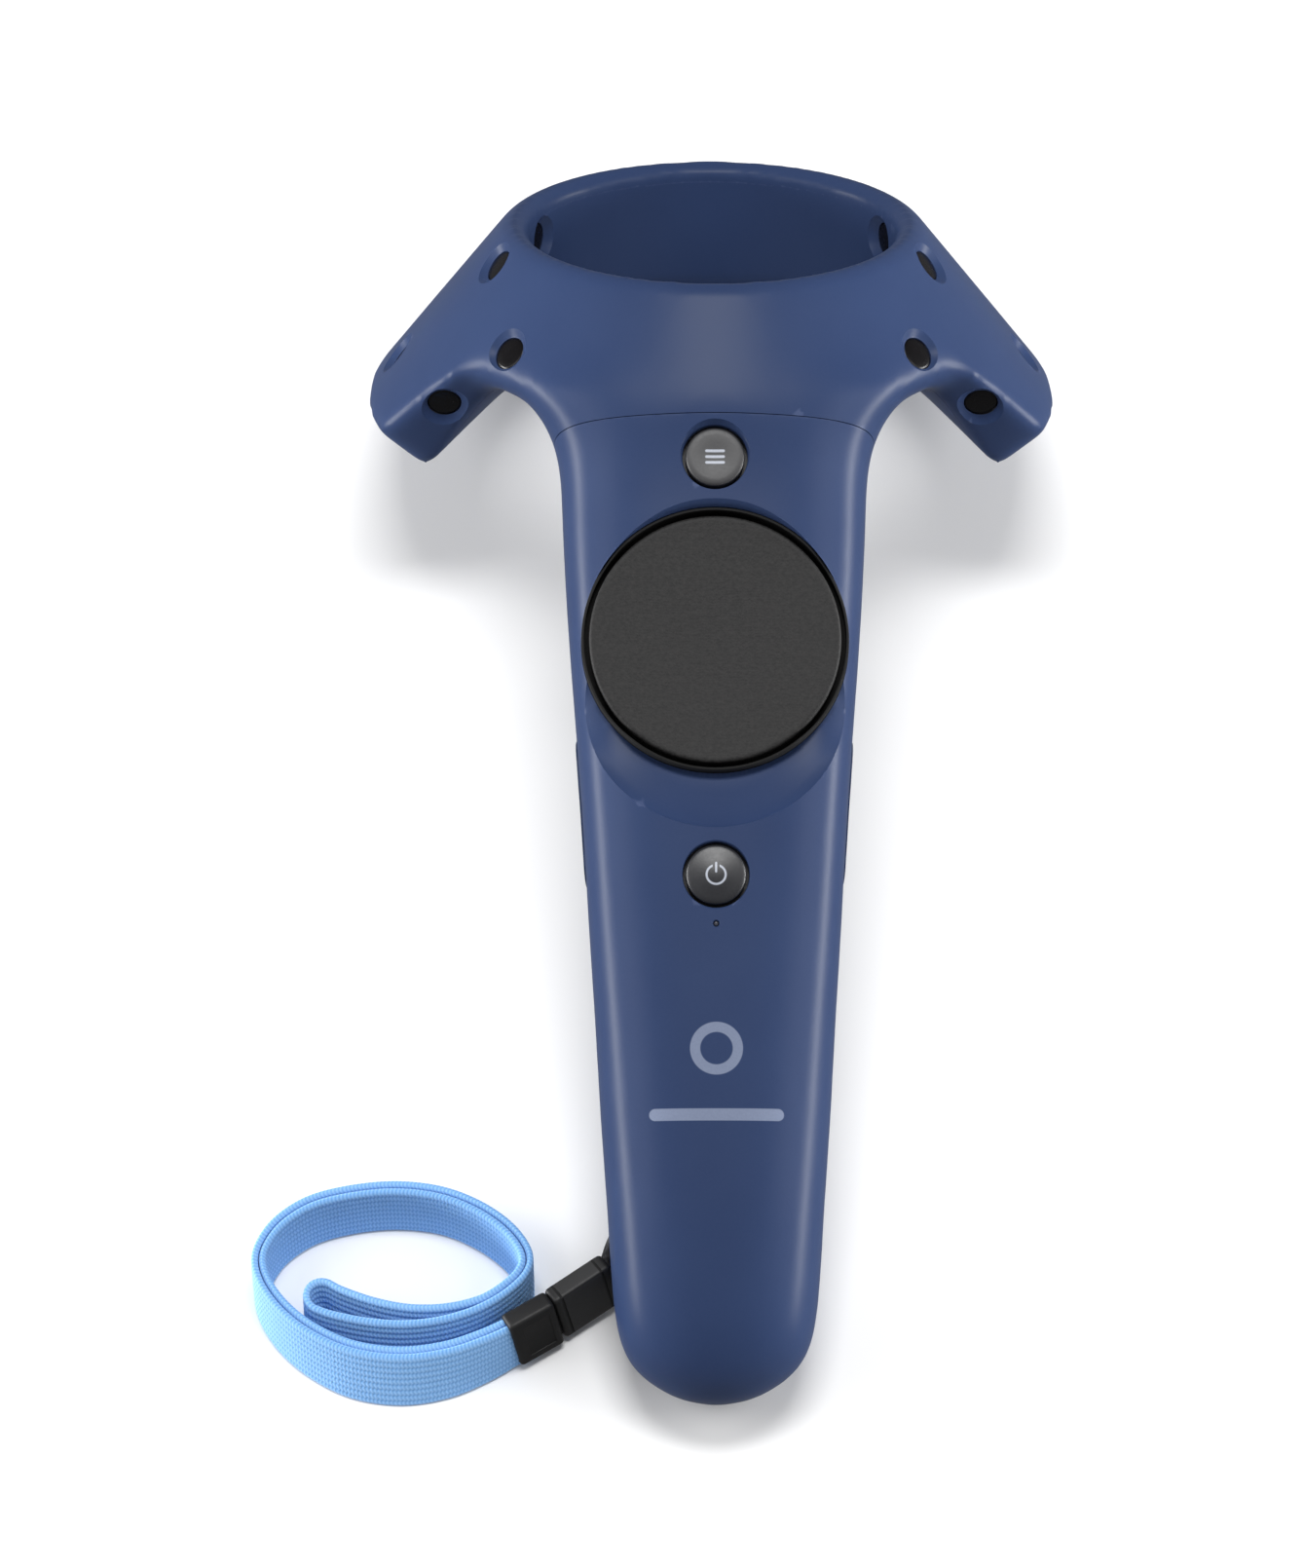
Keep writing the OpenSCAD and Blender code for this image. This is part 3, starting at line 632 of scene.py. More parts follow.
# Sensors on the right half: edge of the ring's outline, angle round the ring, share along the edge
OUTER_SENSORS = [(CONE_EDGE, 1, 0.24), (CONE_EDGE, -16, 0.9), (CONE_EDGE, -41, 0.26),
                 (CONE_EDGE, 30, 0.6), (CONE_EDGE, 52, 0.3), (CONE_EDGE, 74, 0.62)]
INNER_SENSORS = [(BORE_EDGE, 21, 0.3), (BORE_EDGE, -22, 0.6), (BORE_EDGE, -62, 0.5),
                 (FOOT_EDGE, 6, 0.6), (FOOT_EDGE, 60, 0.55)]
END_SENSORS = [(LOW_EDGE, -26, 0.5)]
WINDOW_R = 2.8


def edge_point(i, phi, t):
    s = ring_section(math.radians(phi))
    p = lerp(s[i], s[(i + 1) % len(s)], t)
    return ring_point(math.radians(phi), p.x, p.y)


def sensor_frames(sensors):
    """A frame at each sensor and its twin on the left, on the surface with Z outwards."""
    frames = []
    for i, phi, t in sensors:
        for angle in (phi, 180 - phi):
            along = edge_point(i, angle, t + 0.05) - edge_point(i, angle, t - 0.05)
            round_way = edge_point(i, angle + 1, t) - edge_point(i, angle - 1, t)
            frames.append(facing(edge_point(i, angle, t), round_way.cross(along)))
    return frames


def many(name, model, frames):
    """Copies of a piece, each with its own mesh, joined as one."""
    pieces = []
    for k, place in enumerate(frames):
        twin = copy(model, "%s_%d" % (name, k))
        pieces.append(settle(twin, place))
    bpy.data.objects.remove(model, do_unlink=True)
    return join(name, pieces)


def dimple_cutter(frames):
    """A flared dish and a straight hole under it, at every sensor."""
    flare = [(0.05, -3.4), (0.05, -0.95), (0.3, -0.8), (0.95, -0.3), (1.35, 0), (1.9, 0.6),
             (2.4, 1.6)]
    model = turned("dimple", [(WINDOW_R + r, h) for r, h in flare], 48)
    return many("dimples", model, frames)


def window_set(name, sensors):
    """Dark windows, each a disc with a softened rim and a face that is nearly flat."""
    rim = [(-0.2, -1.9), (0, -1.75), (0, -1.2), (-0.12, -1.05), (-0.45, -0.98), (-1.3, -0.92)]
    model = turned("window", [(WINDOW_R + r, h) for r, h in rim] + [(0, -0.9)], 40)
    return smooth(settle(many(name, model, sensor_frames(sensors))), 40)


all_frames = sensor_frames(OUTER_SENSORS + INNER_SENSORS + END_SENSORS)

# ---- Casings ----
head_outer = cut(copy(shell, "head_outer_casing"), head_zone(SEAM), "INTERSECT")
cut(head_outer, inner_zone(SEAM))
cut(head_outer, dimple_cutter(all_frames))
head_inner = cut(copy(shell, "head_inner_casing"), head_zone(SEAM), "INTERSECT")
cut(head_inner, inner_zone(-SEAM), "INTERSECT")
cut(head_inner, dimple_cutter(all_frames))


def button_cutter(y, face):
    """The hole of a button, wider inside for its flange and rolled at the face."""
    hole = BUTTON_R + BUTTON_GAP
    return turned("button_hole", [(BUTTON_R + 1.5, -7), (BUTTON_R + 1.5, -2.05), (hole, -2),
                                  (hole, face - 0.35), (hole + 0.12, face - 0.12),
                                  (hole + 0.45, face + 0.1), (hole + 0.9, face + 1)], 72, at(0, y, 0))


def screw_column(radius, low, high):
    """A column on the line of each case screw."""
    model = turned("column", [(radius, low), (radius, high)], 32)
    return many("columns", model, [at(x, y, 0) for x, y in SCREWS])


front_zone = block("front_zone", (-100, -10, PARTING_Z + SEAM), (100, 200, 60))
front_cover = cut(copy(shell, "handle_front_casing"), front_zone, "INTERSECT")
WELL_R = PAD_R + PAD_GAP
bosses = cut(screw_column(3, PARTING_Z, 0.5),
             turned("well_wall", [(WELL_R + 1.3, -7), (WELL_R + 1.3, 1)], 96, at(0, PAD_Y, 0)),
             "UNION")
cut(bosses, handle_body("bound", 0.6, 64, 80, 3), "INTERSECT")
cut(front_cover, bosses, "UNION")
cut(front_cover, head_zone(-SEAM))
cut(front_cover, scoop(0))
cut(front_cover, turned("well", [(WELL_R, -7.05), (WELL_R, -1.6), (WELL_R + 0.12, -1.1),
                                 (WELL_R + 0.45, -0.5), (WELL_R + 0.9, -0.1), (WELL_R + 1.6, 0.6),
                                 (WELL_R + 2, 4)], 160, at(0, PAD_Y, 0)))
cut(front_cover, button_cutter(MENU_Y, 0.2))
cut(front_cover, button_cutter(SYSTEM_Y, 0))
cut(front_cover, turned("light_hole", [(LIGHT_R + 0.05, -6), (LIGHT_R + 0.05, -0.2),
                                       (LIGHT_R + 0.3, 0.1), (LIGHT_R + 0.3, 2)],
                        32, at(0, LIGHT_Y, 0)))
cut(front_cover, screw_column(1.1, PARTING_Z - 1, PARTING_Z + 8))


def grip_prism(grow, reach=60):
    """A bar with round ends through both sides of the handle."""
    h = GRIP_H / 2 + grow
    run = GRIP_L / 2 + grow - h
    bar = block("prism", (-reach / 2, GRIP_Y - run, GRIP_Z - h), (reach / 2, GRIP_Y + run, GRIP_Z + h))
    for side in (-1, 1):
        end = turned("end", [(h, -reach / 2), (h, reach / 2)], 48,
                     at(0, GRIP_Y + side * run, GRIP_Z) @ Matrix.Rotation(math.pi / 2, 4, "Y"))
        cut(bar, end, "UNION")
    return bar


rear_zone = block("rear_zone", (-100, -10, -60), (100, 200, PARTING_Z - SEAM))
rear_cover = cut(copy(shell, "handle_rear_casing"), rear_zone, "INTERSECT")
posts = screw_column(3.6, -40, PARTING_Z - SEAM)
cut(posts, outer_body, "INTERSECT", keep=True)
cut(rear_cover, posts, "UNION")
cut(rear_cover, table, keep=True)
cut(rear_cover, head_zone(-SEAM))
cut(rear_cover, grip_prism(0.3))
cut(rear_cover, screw_column(2.3, -50, -17))
cut(rear_cover, screw_column(1.1, -40, 0))
slot_half = TRIGGER_W / 2 + 0.9
cut(rear_cover, block("trigger_slot", (-slot_half, 117.4, -60), (slot_half, 150.8, PARTING_Z - 0.5)))
cut(rear_cover, block("usb_mouth", (-3.95, -1, -17.75), (3.95, 7, -14.65), 0.5, 3))
cut(rear_cover, lanyard_notch(0))
cut(rear_cover, turned("bar_hole", [(1.2, -1.2), (1.2, 7.2)], 24,
                       at(-14.2, 24, -20.6) @ Matrix.Rotation(-math.pi / 2, 4, "X")))
casings = {"head_outer_shell": head_outer, "head_inner_shell": head_inner,
           "handle_front_cover": front_cover, "handle_rear_cover": rear_cover}
for cad_node, casing in casings.items():
    edit(casing)
    bpy.ops.mesh.remove_doubles(threshold=SLIVER)
    bpy.ops.mesh.dissolve_degenerate(threshold=SLIVER)
    leave()
    casing.data.validate()
    smooth(settle(casing), 32)
    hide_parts(cad_node)


# ---- Grip buttons ----
def grip_button(name, side):
    """A cap that follows the handle's own skin, with a flange behind it."""
    near, far = sorted((8 * side, 60 * side))
    half = block("half", (near, 0, -60), (far, 160, 40))
    caps = []
    for proud, grow in ((0.16, 0), (0.32, -0.22)):
        skin = copy(outer_body, "skin")
        modify(skin, "DISPLACE", strength=proud * MM, mid_level=0)
        cut(skin, grip_prism(grow), "INTERSECT")
        caps.append(skin)
    cap = cut(caps[0], caps[1], "UNION")
    cut(cap, handle_body("inside", 2.8, 64, 80, 8))
    flange = cut(handle_body("flange", 2.6, 64, 80, 8), handle_body("inside", 3.6, 64, 80, 10))
    cut(flange, grip_prism(1), "INTERSECT")
    cut(cap, flange, "UNION")
    cut(cap, half, "INTERSECT")
    return smooth(settle(named(cap, name)), 32)


left_grip = grip_button("left_grip_cap", -1)
right_grip = grip_button("right_grip_cap", 1)
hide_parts("left_grip_button")
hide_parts("right_grip_button")
for spare in (outer_body, shell, table):
    bpy.data.objects.remove(spare, do_unlink=True)

# ---- Trackpad and buttons ----
PAD = WAND @ at(0, PAD_Y, 0)
PAD_PROFILE = [(PAD_R - 0.3, -2.2), (PAD_R, -2), (PAD_R, -0.55), (PAD_R - 0.06, -0.3),
               (PAD_R - 0.22, -0.1), (PAD_R - 0.5, 0), (PAD_R - 0.9, -0.03), (PAD_R - 3, -0.12),
               (PAD_R - 8, -0.28), (PAD_R - 14, -0.4), (0, -0.46)]
pad_cap = turned("trackpad_face", [(r, h - PAD_DEPTH) for r, h in PAD_PROFILE], 160, PAD)
smooth(pad_cap, 40)
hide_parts("trackpad_cap")
BEZEL_TOP, BEZEL_LOWEST = -1.55, -2.7
bezel = cut(turned("trackpad_bezel_ring", [(WELL_R - 0.08, -7), (WELL_R - 0.08, BEZEL_TOP - 0.2),
                                           (WELL_R - 0.16, BEZEL_TOP - 0.05),
                                           (WELL_R - 0.3, BEZEL_TOP)], 128, PAD),
            turned("bezel_hole", [(PAD_R - 3.4, -8), (PAD_R - 3.4, -5.6), (PAD_R + 0.85, -5.6),
                                  (PAD_R + 0.85, -1.8), (PAD_R + 0.95, 1)], 128, PAD))
# The rim dips at the sides with the skin, but still hides the board under the pad
for vertex in bezel.data.vertices:
    x, y, z = (WAND.inverted() @ vertex.co) / MM
    if z > -3:
        rim = max(skin_height(x, y) - 0.55, BEZEL_LOWEST) + min(0, z - BEZEL_TOP)
        vertex.co = WAND @ (Vector((x, y, min(z, rim))) * MM)
smooth(bezel, 40)
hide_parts("trackpad_bezel")


def push_button(name, y, face, dome):
    """A round button with a softened rim, a flange under the casing and a stem."""
    r = BUTTON_R
    if dome > 0:
        inner = [(r - 0.9, face + 0.12 * dome), (r - 2, face + 0.5 * dome),
                 (r - 3.6, face + 0.85 * dome), (0, face + dome)]
    else:
        inner = [(r - 1.2, face + 0.02), (r - 2.4, face + 0.25 * dome),
                 (r - 3.8, face + 0.7 * dome), (0, face + dome)]
    profile = [(1.8, -4.4), (1.8, -3.1), (r + 1, -3.1), (r + 1, -2.4), (r, -2.4), (r, face - 0.5),
               (r - 0.05, face - 0.28), (r - 0.18, face - 0.1), (r - 0.42, face)] + inner
    return smooth(turned(name, profile, 96, WAND @ at(0, y, 0)), 35)


menu = push_button("menu_button_cap", MENU_Y, 0.35, -0.2)
system = push_button("system_button_cap", SYSTEM_Y, 0.3, 0.5)
LIGHT_PROFILE = [(0.78, -9.4), (0.78, -2.2), (LIGHT_R - 0.02, -2.1), (LIGHT_R - 0.02, -0.45),
                 (LIGHT_R - 0.12, -0.3), (0, -0.26)]
light_pipe = smooth(turned("status_light_pipe", LIGHT_PROFILE, 32, WAND @ at(0, LIGHT_Y, 0)))
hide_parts("status_light")
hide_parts("menu_button")
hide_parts("system_button")

# ---- Trigger ----
# Side outline as (y, z) from the pin, going down the back to the tip and up under the finger
TRIGGER = [(-3, 2), (-14, -1.2), (-25, -2.6), (-26.8, -3.6), (-27.4, -5.6), (-26.6, -9.5), (-25, -15),
           (-23.4, -21), (-22.6, -26), (-21.9, -27.6), (-20.2, -28.2), (-18.6, -27.2), (-16.8, -24),
           (-14, -19.2), (-10.6, -15), (-6.5, -11.6), (-2, -9), (2.4, -7), (3.2, -5.6), (3, -1.2)]


def make_trigger():
    """The trigger: its side outline filled and drawn across, the edges rolled under the finger."""
    outline = catmull(TRIGGER + [TRIGGER[0]], 3)[:-1]
    half = TRIGGER_W / 2
    fresh()
    bpy.ops.mesh.primitive_circle_add(vertices=len(outline), radius=1, fill_type="NGON")
    obj = added("trigger_lever")
    for vertex, (y, z) in zip(obj.data.vertices, outline):
        vertex.co = Vector((-half, y, z)) * MM
    edit(obj)
    bpy.ops.mesh.extrude_region_move(TRANSFORM_OT_translate={"value": (TRIGGER_W * MM, 0, 0)})
    leave()
    outward(obj)
    modify(obj, "BEVEL", width=1.5 * MM, segments=5, limit_method="ANGLE",
           angle_limit=math.radians(60))
    sideways = Matrix.Rotation(math.pi / 2, 4, "Y")
    cut(obj, turned("hub", [(3.2, -half), (3.2, half)], 48, sideways), "UNION")
    cut(obj, turned("pin_hole", [(1.04, -10), (1.04, 10)], 32, sideways))
    cut(obj, block("spring_room", (-2.6, -4.2, -4.2), (2.6, 4.2, 4.2)))
    cut(obj, turned("magnet_hole", [(1.55, -1.6), (1.55, 7.4)], 32, at(4.9, -12, -3.5) @ sideways))
    return smooth(settle(obj, WAND @ at(0, PIVOT_Y, PIVOT_Z)), 35)


trigger = make_trigger()
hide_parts("trigger")

# ---- Screws and socket ----
def make_screw():
    """A pan-head screw: turned head and shank, with a cross cut in the head."""
    screw = turned("screw", [(1.5, -18.4), (1.85, -18.3), (2, -18.0), (2, -17), (1, -17), (1, -9.6),
                             (0.6, -9.2)], 32)
    cut(screw, block("slot", (-1.15, -0.22, -19), (1.15, 0.22, -17.7)))
    cut(screw, block("slot", (-0.22, -1.15, -19), (0.22, 1.15, -17.7)))
    return screw


screws = smooth(settle(many("casing_screws", make_screw(), [at(x, y, 0) for x, y in SCREWS])), 35)
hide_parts("case_screws")


def make_socket():
    """The charging socket: a folded can with a mouth, a tongue and its contacts."""
    can = block("charging_socket", (-3.75, 0.7, -17.55), (3.75, 7.1, -14.85), 0.5, 3)
    cut(can, block("mouth", (-3.4, -1, -17.2), (3.4, 5.9, -15.2), 0.3, 3))
    tongue = block("tongue", (-2.1, 1.6, -16.1), (2.1, 5.95, -15.5), 0.08, 2)
    cut(can, tongue, "UNION")
    for k in range(5):
        x = -1.3 + 0.65 * k
        cut(can, block("contact", (x - 0.16, 1.7, -16.22), (x + 0.16, 5.9, -16.05)), "UNION")
    return smooth(settle(can), 35)


socket = make_socket()
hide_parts("usb_socket")

outer_windows = window_set("outer_windows", OUTER_SENSORS)
inner_windows = window_set("inner_windows", INNER_SENSORS)
end_windows = window_set("end_windows", END_SENSORS)
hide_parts("outer_sensor_windows")
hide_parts("inner_sensor_windows")
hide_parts("end_sensor_windows")

# ---- Materials ----
def material(name):
    made = bpy.data.materials.new(name)
    made.use_nodes = True
    return made


class Value:
    """A shader socket that adds, multiplies and compares as a number does."""

    def __init__(self, tree, socket):
        self.tree, self.socket = tree, socket

    def math(self, operation, *values):
        return node(self.tree, "ShaderNodeMath", {"operation": operation}, *values)

    def __add__(self, other):
        return self.math("ADD", self, other)

    def __sub__(self, other):
        return self.math("SUBTRACT", self, other)

    def __rsub__(self, other):
        return self.math("SUBTRACT", other, self)

    def __mul__(self, other):
        return self.math("MULTIPLY", self, other)

    def __lt__(self, other):
        return self.math("LESS_THAN", self, other)

    def __gt__(self, other):
        return self.math("GREATER_THAN", self, other)

    def __abs__(self):
        return self.math("ABSOLUTE", self)

    def __pow__(self, other):
        return self.math("POWER", self, other)

    def sine(self):
        return self.math("SINE", self)

    def larger(self, other):
        return self.math("MAXIMUM", self, other)

    def within(self, low, high):
        """0 below low, 1 above high and a straight slope between."""
        return node(self.tree, "ShaderNodeMapRange", {}, self, low, high, 0, 1)

    __radd__, __rmul__ = __add__, __mul__


def node(tree, kind, settings, *values, out=0, **named):
    """Add a node: its settings first, then values or links for its sockets. Returns an output."""
    made = tree.nodes.new(kind)
    for key, value in settings.items():
        setattr(made, key, value)
    pairs = list(enumerate(values)) + [(key.replace("_", " "), value) for key, value in named.items()]
    for key, value in pairs:
        if value is None:
            continue
        if isinstance(value, Value):
            tree.links.new(value.socket, made.inputs[key])
        else:
            made.inputs[key].default_value = value
    return Value(tree, made.outputs[out])


def mix(tree, factor, a, b):
    """Blend two colours, each a link or its red, green and blue."""
    a, b = [value if isinstance(value, Value) else (*value, 1) for value in (a, b)]
    return node(tree, "ShaderNodeMix", {"data_type": "RGBA"}, factor, *[None] * 5, a, b, out=2)


def place(tree):
    """Object coordinates."""
    return node(tree, "ShaderNodeTexCoord", {}, out="Object")


def grain(tree, where, scale, detail=3, roughness=0.55):
    return node(tree, "ShaderNodeTexNoise", {}, Vector=where, Scale=scale, Detail=detail,
                Roughness=roughness)


def bump(tree, height, strength, distance):
    return node(tree, "ShaderNodeBump", {}, Strength=strength, Distance=distance, Height=height)


def finish(mat, colour=None, roughness=None, normal=None, **fixed):
    """Feed the shader: varying sockets by link, constant ones by value."""
    tree = mat.node_tree
    shader = tree.nodes["Principled BSDF"]
    for key, value in (("Base Color", colour), ("Roughness", roughness), ("Normal", normal)):
        if isinstance(value, Value):
            tree.links.new(value.socket, shader.inputs[key])
        elif value is not None:
            shader.inputs[key].default_value = value
    for key, value in fixed.items():
        shader.inputs[key.replace("_", " ")].default_value = value
    return mat


def split(tree, where):
    first = node(tree, "ShaderNodeSeparateXYZ", {}, where)
    return [Value(tree, output) for output in first.socket.node.outputs]


def wand_place(tree, where):
    """Object coordinates as millimetres in the wand's own frame."""
    x, y, z = split(tree, where)
    c, s = math.cos(TILT), math.sin(TILT)
    dy, dz = y - BUTT_Y * MM, z - BUTT_Z * MM
    return x * (1 / MM), (dy * c + dz * s) * (1 / MM), (dz * c - dy * s) * (1 / MM)


def edge_highlight(tree, low=0.53, high=0.6):
    """Where the surface turns sharply outwards: the mask of a painted highlight along edges."""
    return node(tree, "ShaderNodeNewGeometry", {}, out="Pointiness").within(low, high)


PRINT_BLUR = 0.06


def bar_mask(x, y, half_l, half_h):
    """A bar with round ends, centred where x and y are 0."""
    past = (abs(x) - half_l).larger(0)
    return ((past * past + y * y) ** 0.5).within(half_h + PRINT_BLUR, half_h - PRINT_BLUR)


def ring_mask(x, y, radius, half_w):
    """A ring, centred where x and y are 0."""
    away = abs((x * x + y * y) ** 0.5 - radius)
    return away.within(half_w + PRINT_BLUR, half_w - PRINT_BLUR)


def satin_moulding():
    """Satin moulded casing: a fine spark-eroded grain, faint drift of tone, and the printed mark."""
    mat = material("satin_moulding")
    tree = mat.node_tree
    where = place(tree)
    fine, broad = grain(tree, where, 2600, 2), grain(tree, where, 38, 3)
    base = mix(tree, broad.within(0.3, 0.7), (0.021, 0.037, 0.094), (0.024, 0.042, 0.104))
    base = mix(tree, fine * 0.2, base, (0.042, 0.06, 0.132))
    # Painted highlight: the sharp outer edges of the casing are lightened towards a pale blue.
    base = mix(tree, edge_highlight(tree) * 0.25, base, (0.12, 0.15, 0.27))
    x, y, z = wand_place(tree, where)
    ring = ring_mask(x, y - 55.0, 3.35, 0.8)
    bar = bar_mask(x, y - 44.6, 9.6, 0.95)
    print_mask = ring.larger(bar) * (z > -4)
    base = mix(tree, print_mask * (0.72 + fine * 0.2), base, (0.2, 0.235, 0.33))
    rough = 0.3 + broad * 0.05 + fine * 0.06 + print_mask * 0.08
    return finish(mat, base, rough, bump(tree, fine, 0.12, 0.00006), Specular_IOR_Level=0.1)


def black_moulding(name, dark, light, rough=0.42, scale=2200):
    """A dark moulding with a fine grain and a painted highlight that lightens its sharp edges."""
    mat = material(name)
    tree = mat.node_tree
    where = place(tree)
    fine, broad = grain(tree, where, scale, 2), grain(tree, where, 60, 3)
    base = mix(tree, broad, dark, light)
    # Painted highlight along the sharp outer edges.
    base = mix(tree, edge_highlight(tree) * 0.35, base, tuple(min(1, v * 2.4 + 0.03) for v in light))
    return finish(mat, base, rough + fine * 0.1 + broad * 0.05, bump(tree, fine, 0.2, 0.00008),
                  Specular_IOR_Level=0.3)


def pad_material():
    """The trackpad's face: charcoal with a dense fine speckle that a thumb glides on."""
    mat = material("trackpad_texture")
    tree = mat.node_tree
    where = place(tree)
    cells = node(tree, "ShaderNodeTexVoronoi", {}, Vector=where, Scale=2300, Randomness=0.75)
    fine, broad = grain(tree, where, 1500, 3, 0.7), grain(tree, where, 45, 3)
    base = mix(tree, fine.within(0.35, 0.68), (0.006, 0.006, 0.0063), (0.02, 0.0193, 0.0193))
    base = mix(tree, broad * 0.3, base, (0.02, 0.0195, 0.0195))
    # Painted highlight along the pad's sharp outer edges.
    base = mix(tree, edge_highlight(tree, 0.55, 0.65) * 0.3, base, (0.12, 0.12, 0.12))
    height = cells * -0.7 + fine * 0.5
    return finish(mat, base, 0.56 + fine * 0.12, bump(tree, height, 0.35, 0.00012),
                  Specular_IOR_Level=0.3)


def button_material(name, y_centre, icon, dark, light, rough):
    """A satin button with its printed symbol."""
    mat = material(name)
    tree = mat.node_tree
    where = place(tree)
    fine, broad = grain(tree, where, 2400, 2), grain(tree, where, 90, 2)
    x, y, z = wand_place(tree, where)
    y = y - y_centre
    if icon == "bars":
        mark = bar_mask(x, y, 1.35, 0.22)
        for off in (-0.95, 0.95):
            mark = mark.larger(bar_mask(x, y - off, 1.35, 0.22))
    else:
        open_top = 1 - (abs(x) < 0.55) * (y > 0)
        ring = ring_mask(x, y + 0.1, 1.5, 0.16) * open_top
        mark = ring.larger(bar_mask(y - 1.05, x, 0.7, 0.16))
    mark = mark * (z > -1)
    base = mix(tree, broad, dark, light)
    # Painted highlight along the button's sharp edges.
    base = mix(tree, edge_highlight(tree, 0.54, 0.62) * 0.4, base, (0.16, 0.17, 0.2))
    base = mix(tree, mark * (0.75 + fine * 0.25), base, (0.42, 0.45, 0.52))
    return finish(mat, base, rough + fine * 0.1, bump(tree, fine, 0.15, 0.00006))


def window_material():
    """Infrared window: nearly black and glossy, with a faint cloud in it."""
    mat = material("infrared_window")
    tree = mat.node_tree
    where = place(tree)
    broad = grain(tree, where, 300, 3)
    base = mix(tree, broad, (0.002, 0.0018, 0.0022), (0.004, 0.0034, 0.0042))
    return finish(mat, base, 0.22 + broad * 0.1, None, Specular_IOR_Level=0.18)


def webbing_material():
    """Woven webbing: slanting picks across each lengthwise rib, with a painted highlight on the tops of
    the ribs and painted shade in the grooves between them.
    """
    mat = material("woven_webbing")
    tree = mat.node_tree
    uv = node(tree, "ShaderNodeUVMap", {"uv_map": "weave"})
    u, v, _ = split(tree, uv)
    columns = 2 * (RIBS * RIB_STEPS + 1)
    across = u * (2 * RIBS * columns / (columns - 2)) * math.pi * 2
    along = v * (webbing_length / 0.62) * math.pi * 2
    lean = across.sine() * 1.1
    picks = (along + lean).sine() * 0.5 + 0.5
    ribs = (across * 0.5).sine()
    # Painted highlight on the rib tops and painted shade in the grooves between them.
    rib_top_highlight = abs(ribs)
    where = place(tree)
    fuzz, broad = grain(tree, where, 3200, 3, 0.7), grain(tree, where, 70, 3)
    tone = picks * 0.45 + rib_top_highlight * 0.35 + fuzz * 0.3
    base = mix(tree, tone.within(0.15, 1.0), (0.1, 0.3, 0.66), (0.34, 0.6, 0.97))
    base = mix(tree, broad * 0.3, base, (0.2, 0.44, 0.85))
    height = picks * 0.6 + fuzz * 0.35
    return finish(mat, base, 0.78 + fuzz * 0.12, bump(tree, height, 0.5, 0.00016),
                  Sheen_Weight=0.12, Sheen_Roughness=0.4)


def cord_material():
    """Thin braided cord: crossing strands, black and slightly fuzzy."""
    mat = material("braided_cord")
    tree = mat.node_tree
    where = place(tree)
    x, y, z = split(tree, where)
    braid = ((x + y) * 5200).sine() * ((x - y + z) * 5200).sine()
    fuzz = grain(tree, where, 2600, 3)
    base = mix(tree, (braid * 0.5 + 0.5) * 0.7 + fuzz * 0.3, (0.008, 0.008, 0.009), (0.05, 0.05, 0.055))
    return finish(mat, base, 0.75 + fuzz * 0.1, bump(tree, braid + fuzz * 0.5, 0.5, 0.00015))


def metal(name, dark, light, rough, brushed=(1, 1, 1), metallic=1.0):
    """Metal with a drawn or brushed grain and dull patches."""
    mat = material(name)
    tree = mat.node_tree
    where = place(tree)
    stretched = node(tree, "ShaderNodeMapping", {}, Vector=where, Scale=brushed)
    lines, broad = grain(tree, stretched, 900, 4, 0.7), grain(tree, where, 120, 3)
    base = mix(tree, lines * 0.6 + broad * 0.4, dark, light)
    # Painted highlight along the sharp outer edges.
    base = mix(tree, edge_highlight(tree, 0.54, 0.64) * 0.3, base, tuple(min(1, v * 1.25) for v in light))
    return finish(mat, base, rough + lines * 0.15 + broad * 0.08, bump(tree, lines, 0.12, 0.00005),
                  Metallic=metallic)


def board_material():
    """Solder mask over copper: tracks, a pad here and there, and glass weave under it."""
    mat = material("circuit_board")
    tree = mat.node_tree
    where = place(tree)
    tracks = node(tree, "ShaderNodeTexBrick", {"offset": 0.35}, Vector=where, Scale=260,
                  Mortar_Size=0.03, out="Fac")
    dots = node(tree, "ShaderNodeTexVoronoi", {}, Vector=where, Scale=420).within(0.16, 0.1)
    weave = grain(tree, where, 1800, 2)
    base = mix(tree, weave * 0.6, (0.008, 0.07, 0.026), (0.014, 0.11, 0.045))
    base = mix(tree, tracks * 0.6, base, (0.03, 0.2, 0.075))
    base = mix(tree, dots * 0.8, base, (0.6, 0.5, 0.26))
    return finish(mat, base, 0.3 + weave * 0.12, bump(tree, tracks + weave * 0.2, 0.2, 0.00006))


def film_material():
    """Amber film with copper lines along it."""
    mat = material("polyimide_film")
    tree = mat.node_tree
    where = place(tree)
    x, y, z = split(tree, where)
    lines = ((x * 3200).sine() * 0.5 + 0.5).within(0.6, 0.8)
    broad = grain(tree, where, 90, 3)
    base = mix(tree, lines * 0.6 + broad * 0.2, (0.42, 0.17, 0.025), (0.62, 0.34, 0.09))
    return finish(mat, base, 0.28 + broad * 0.15)


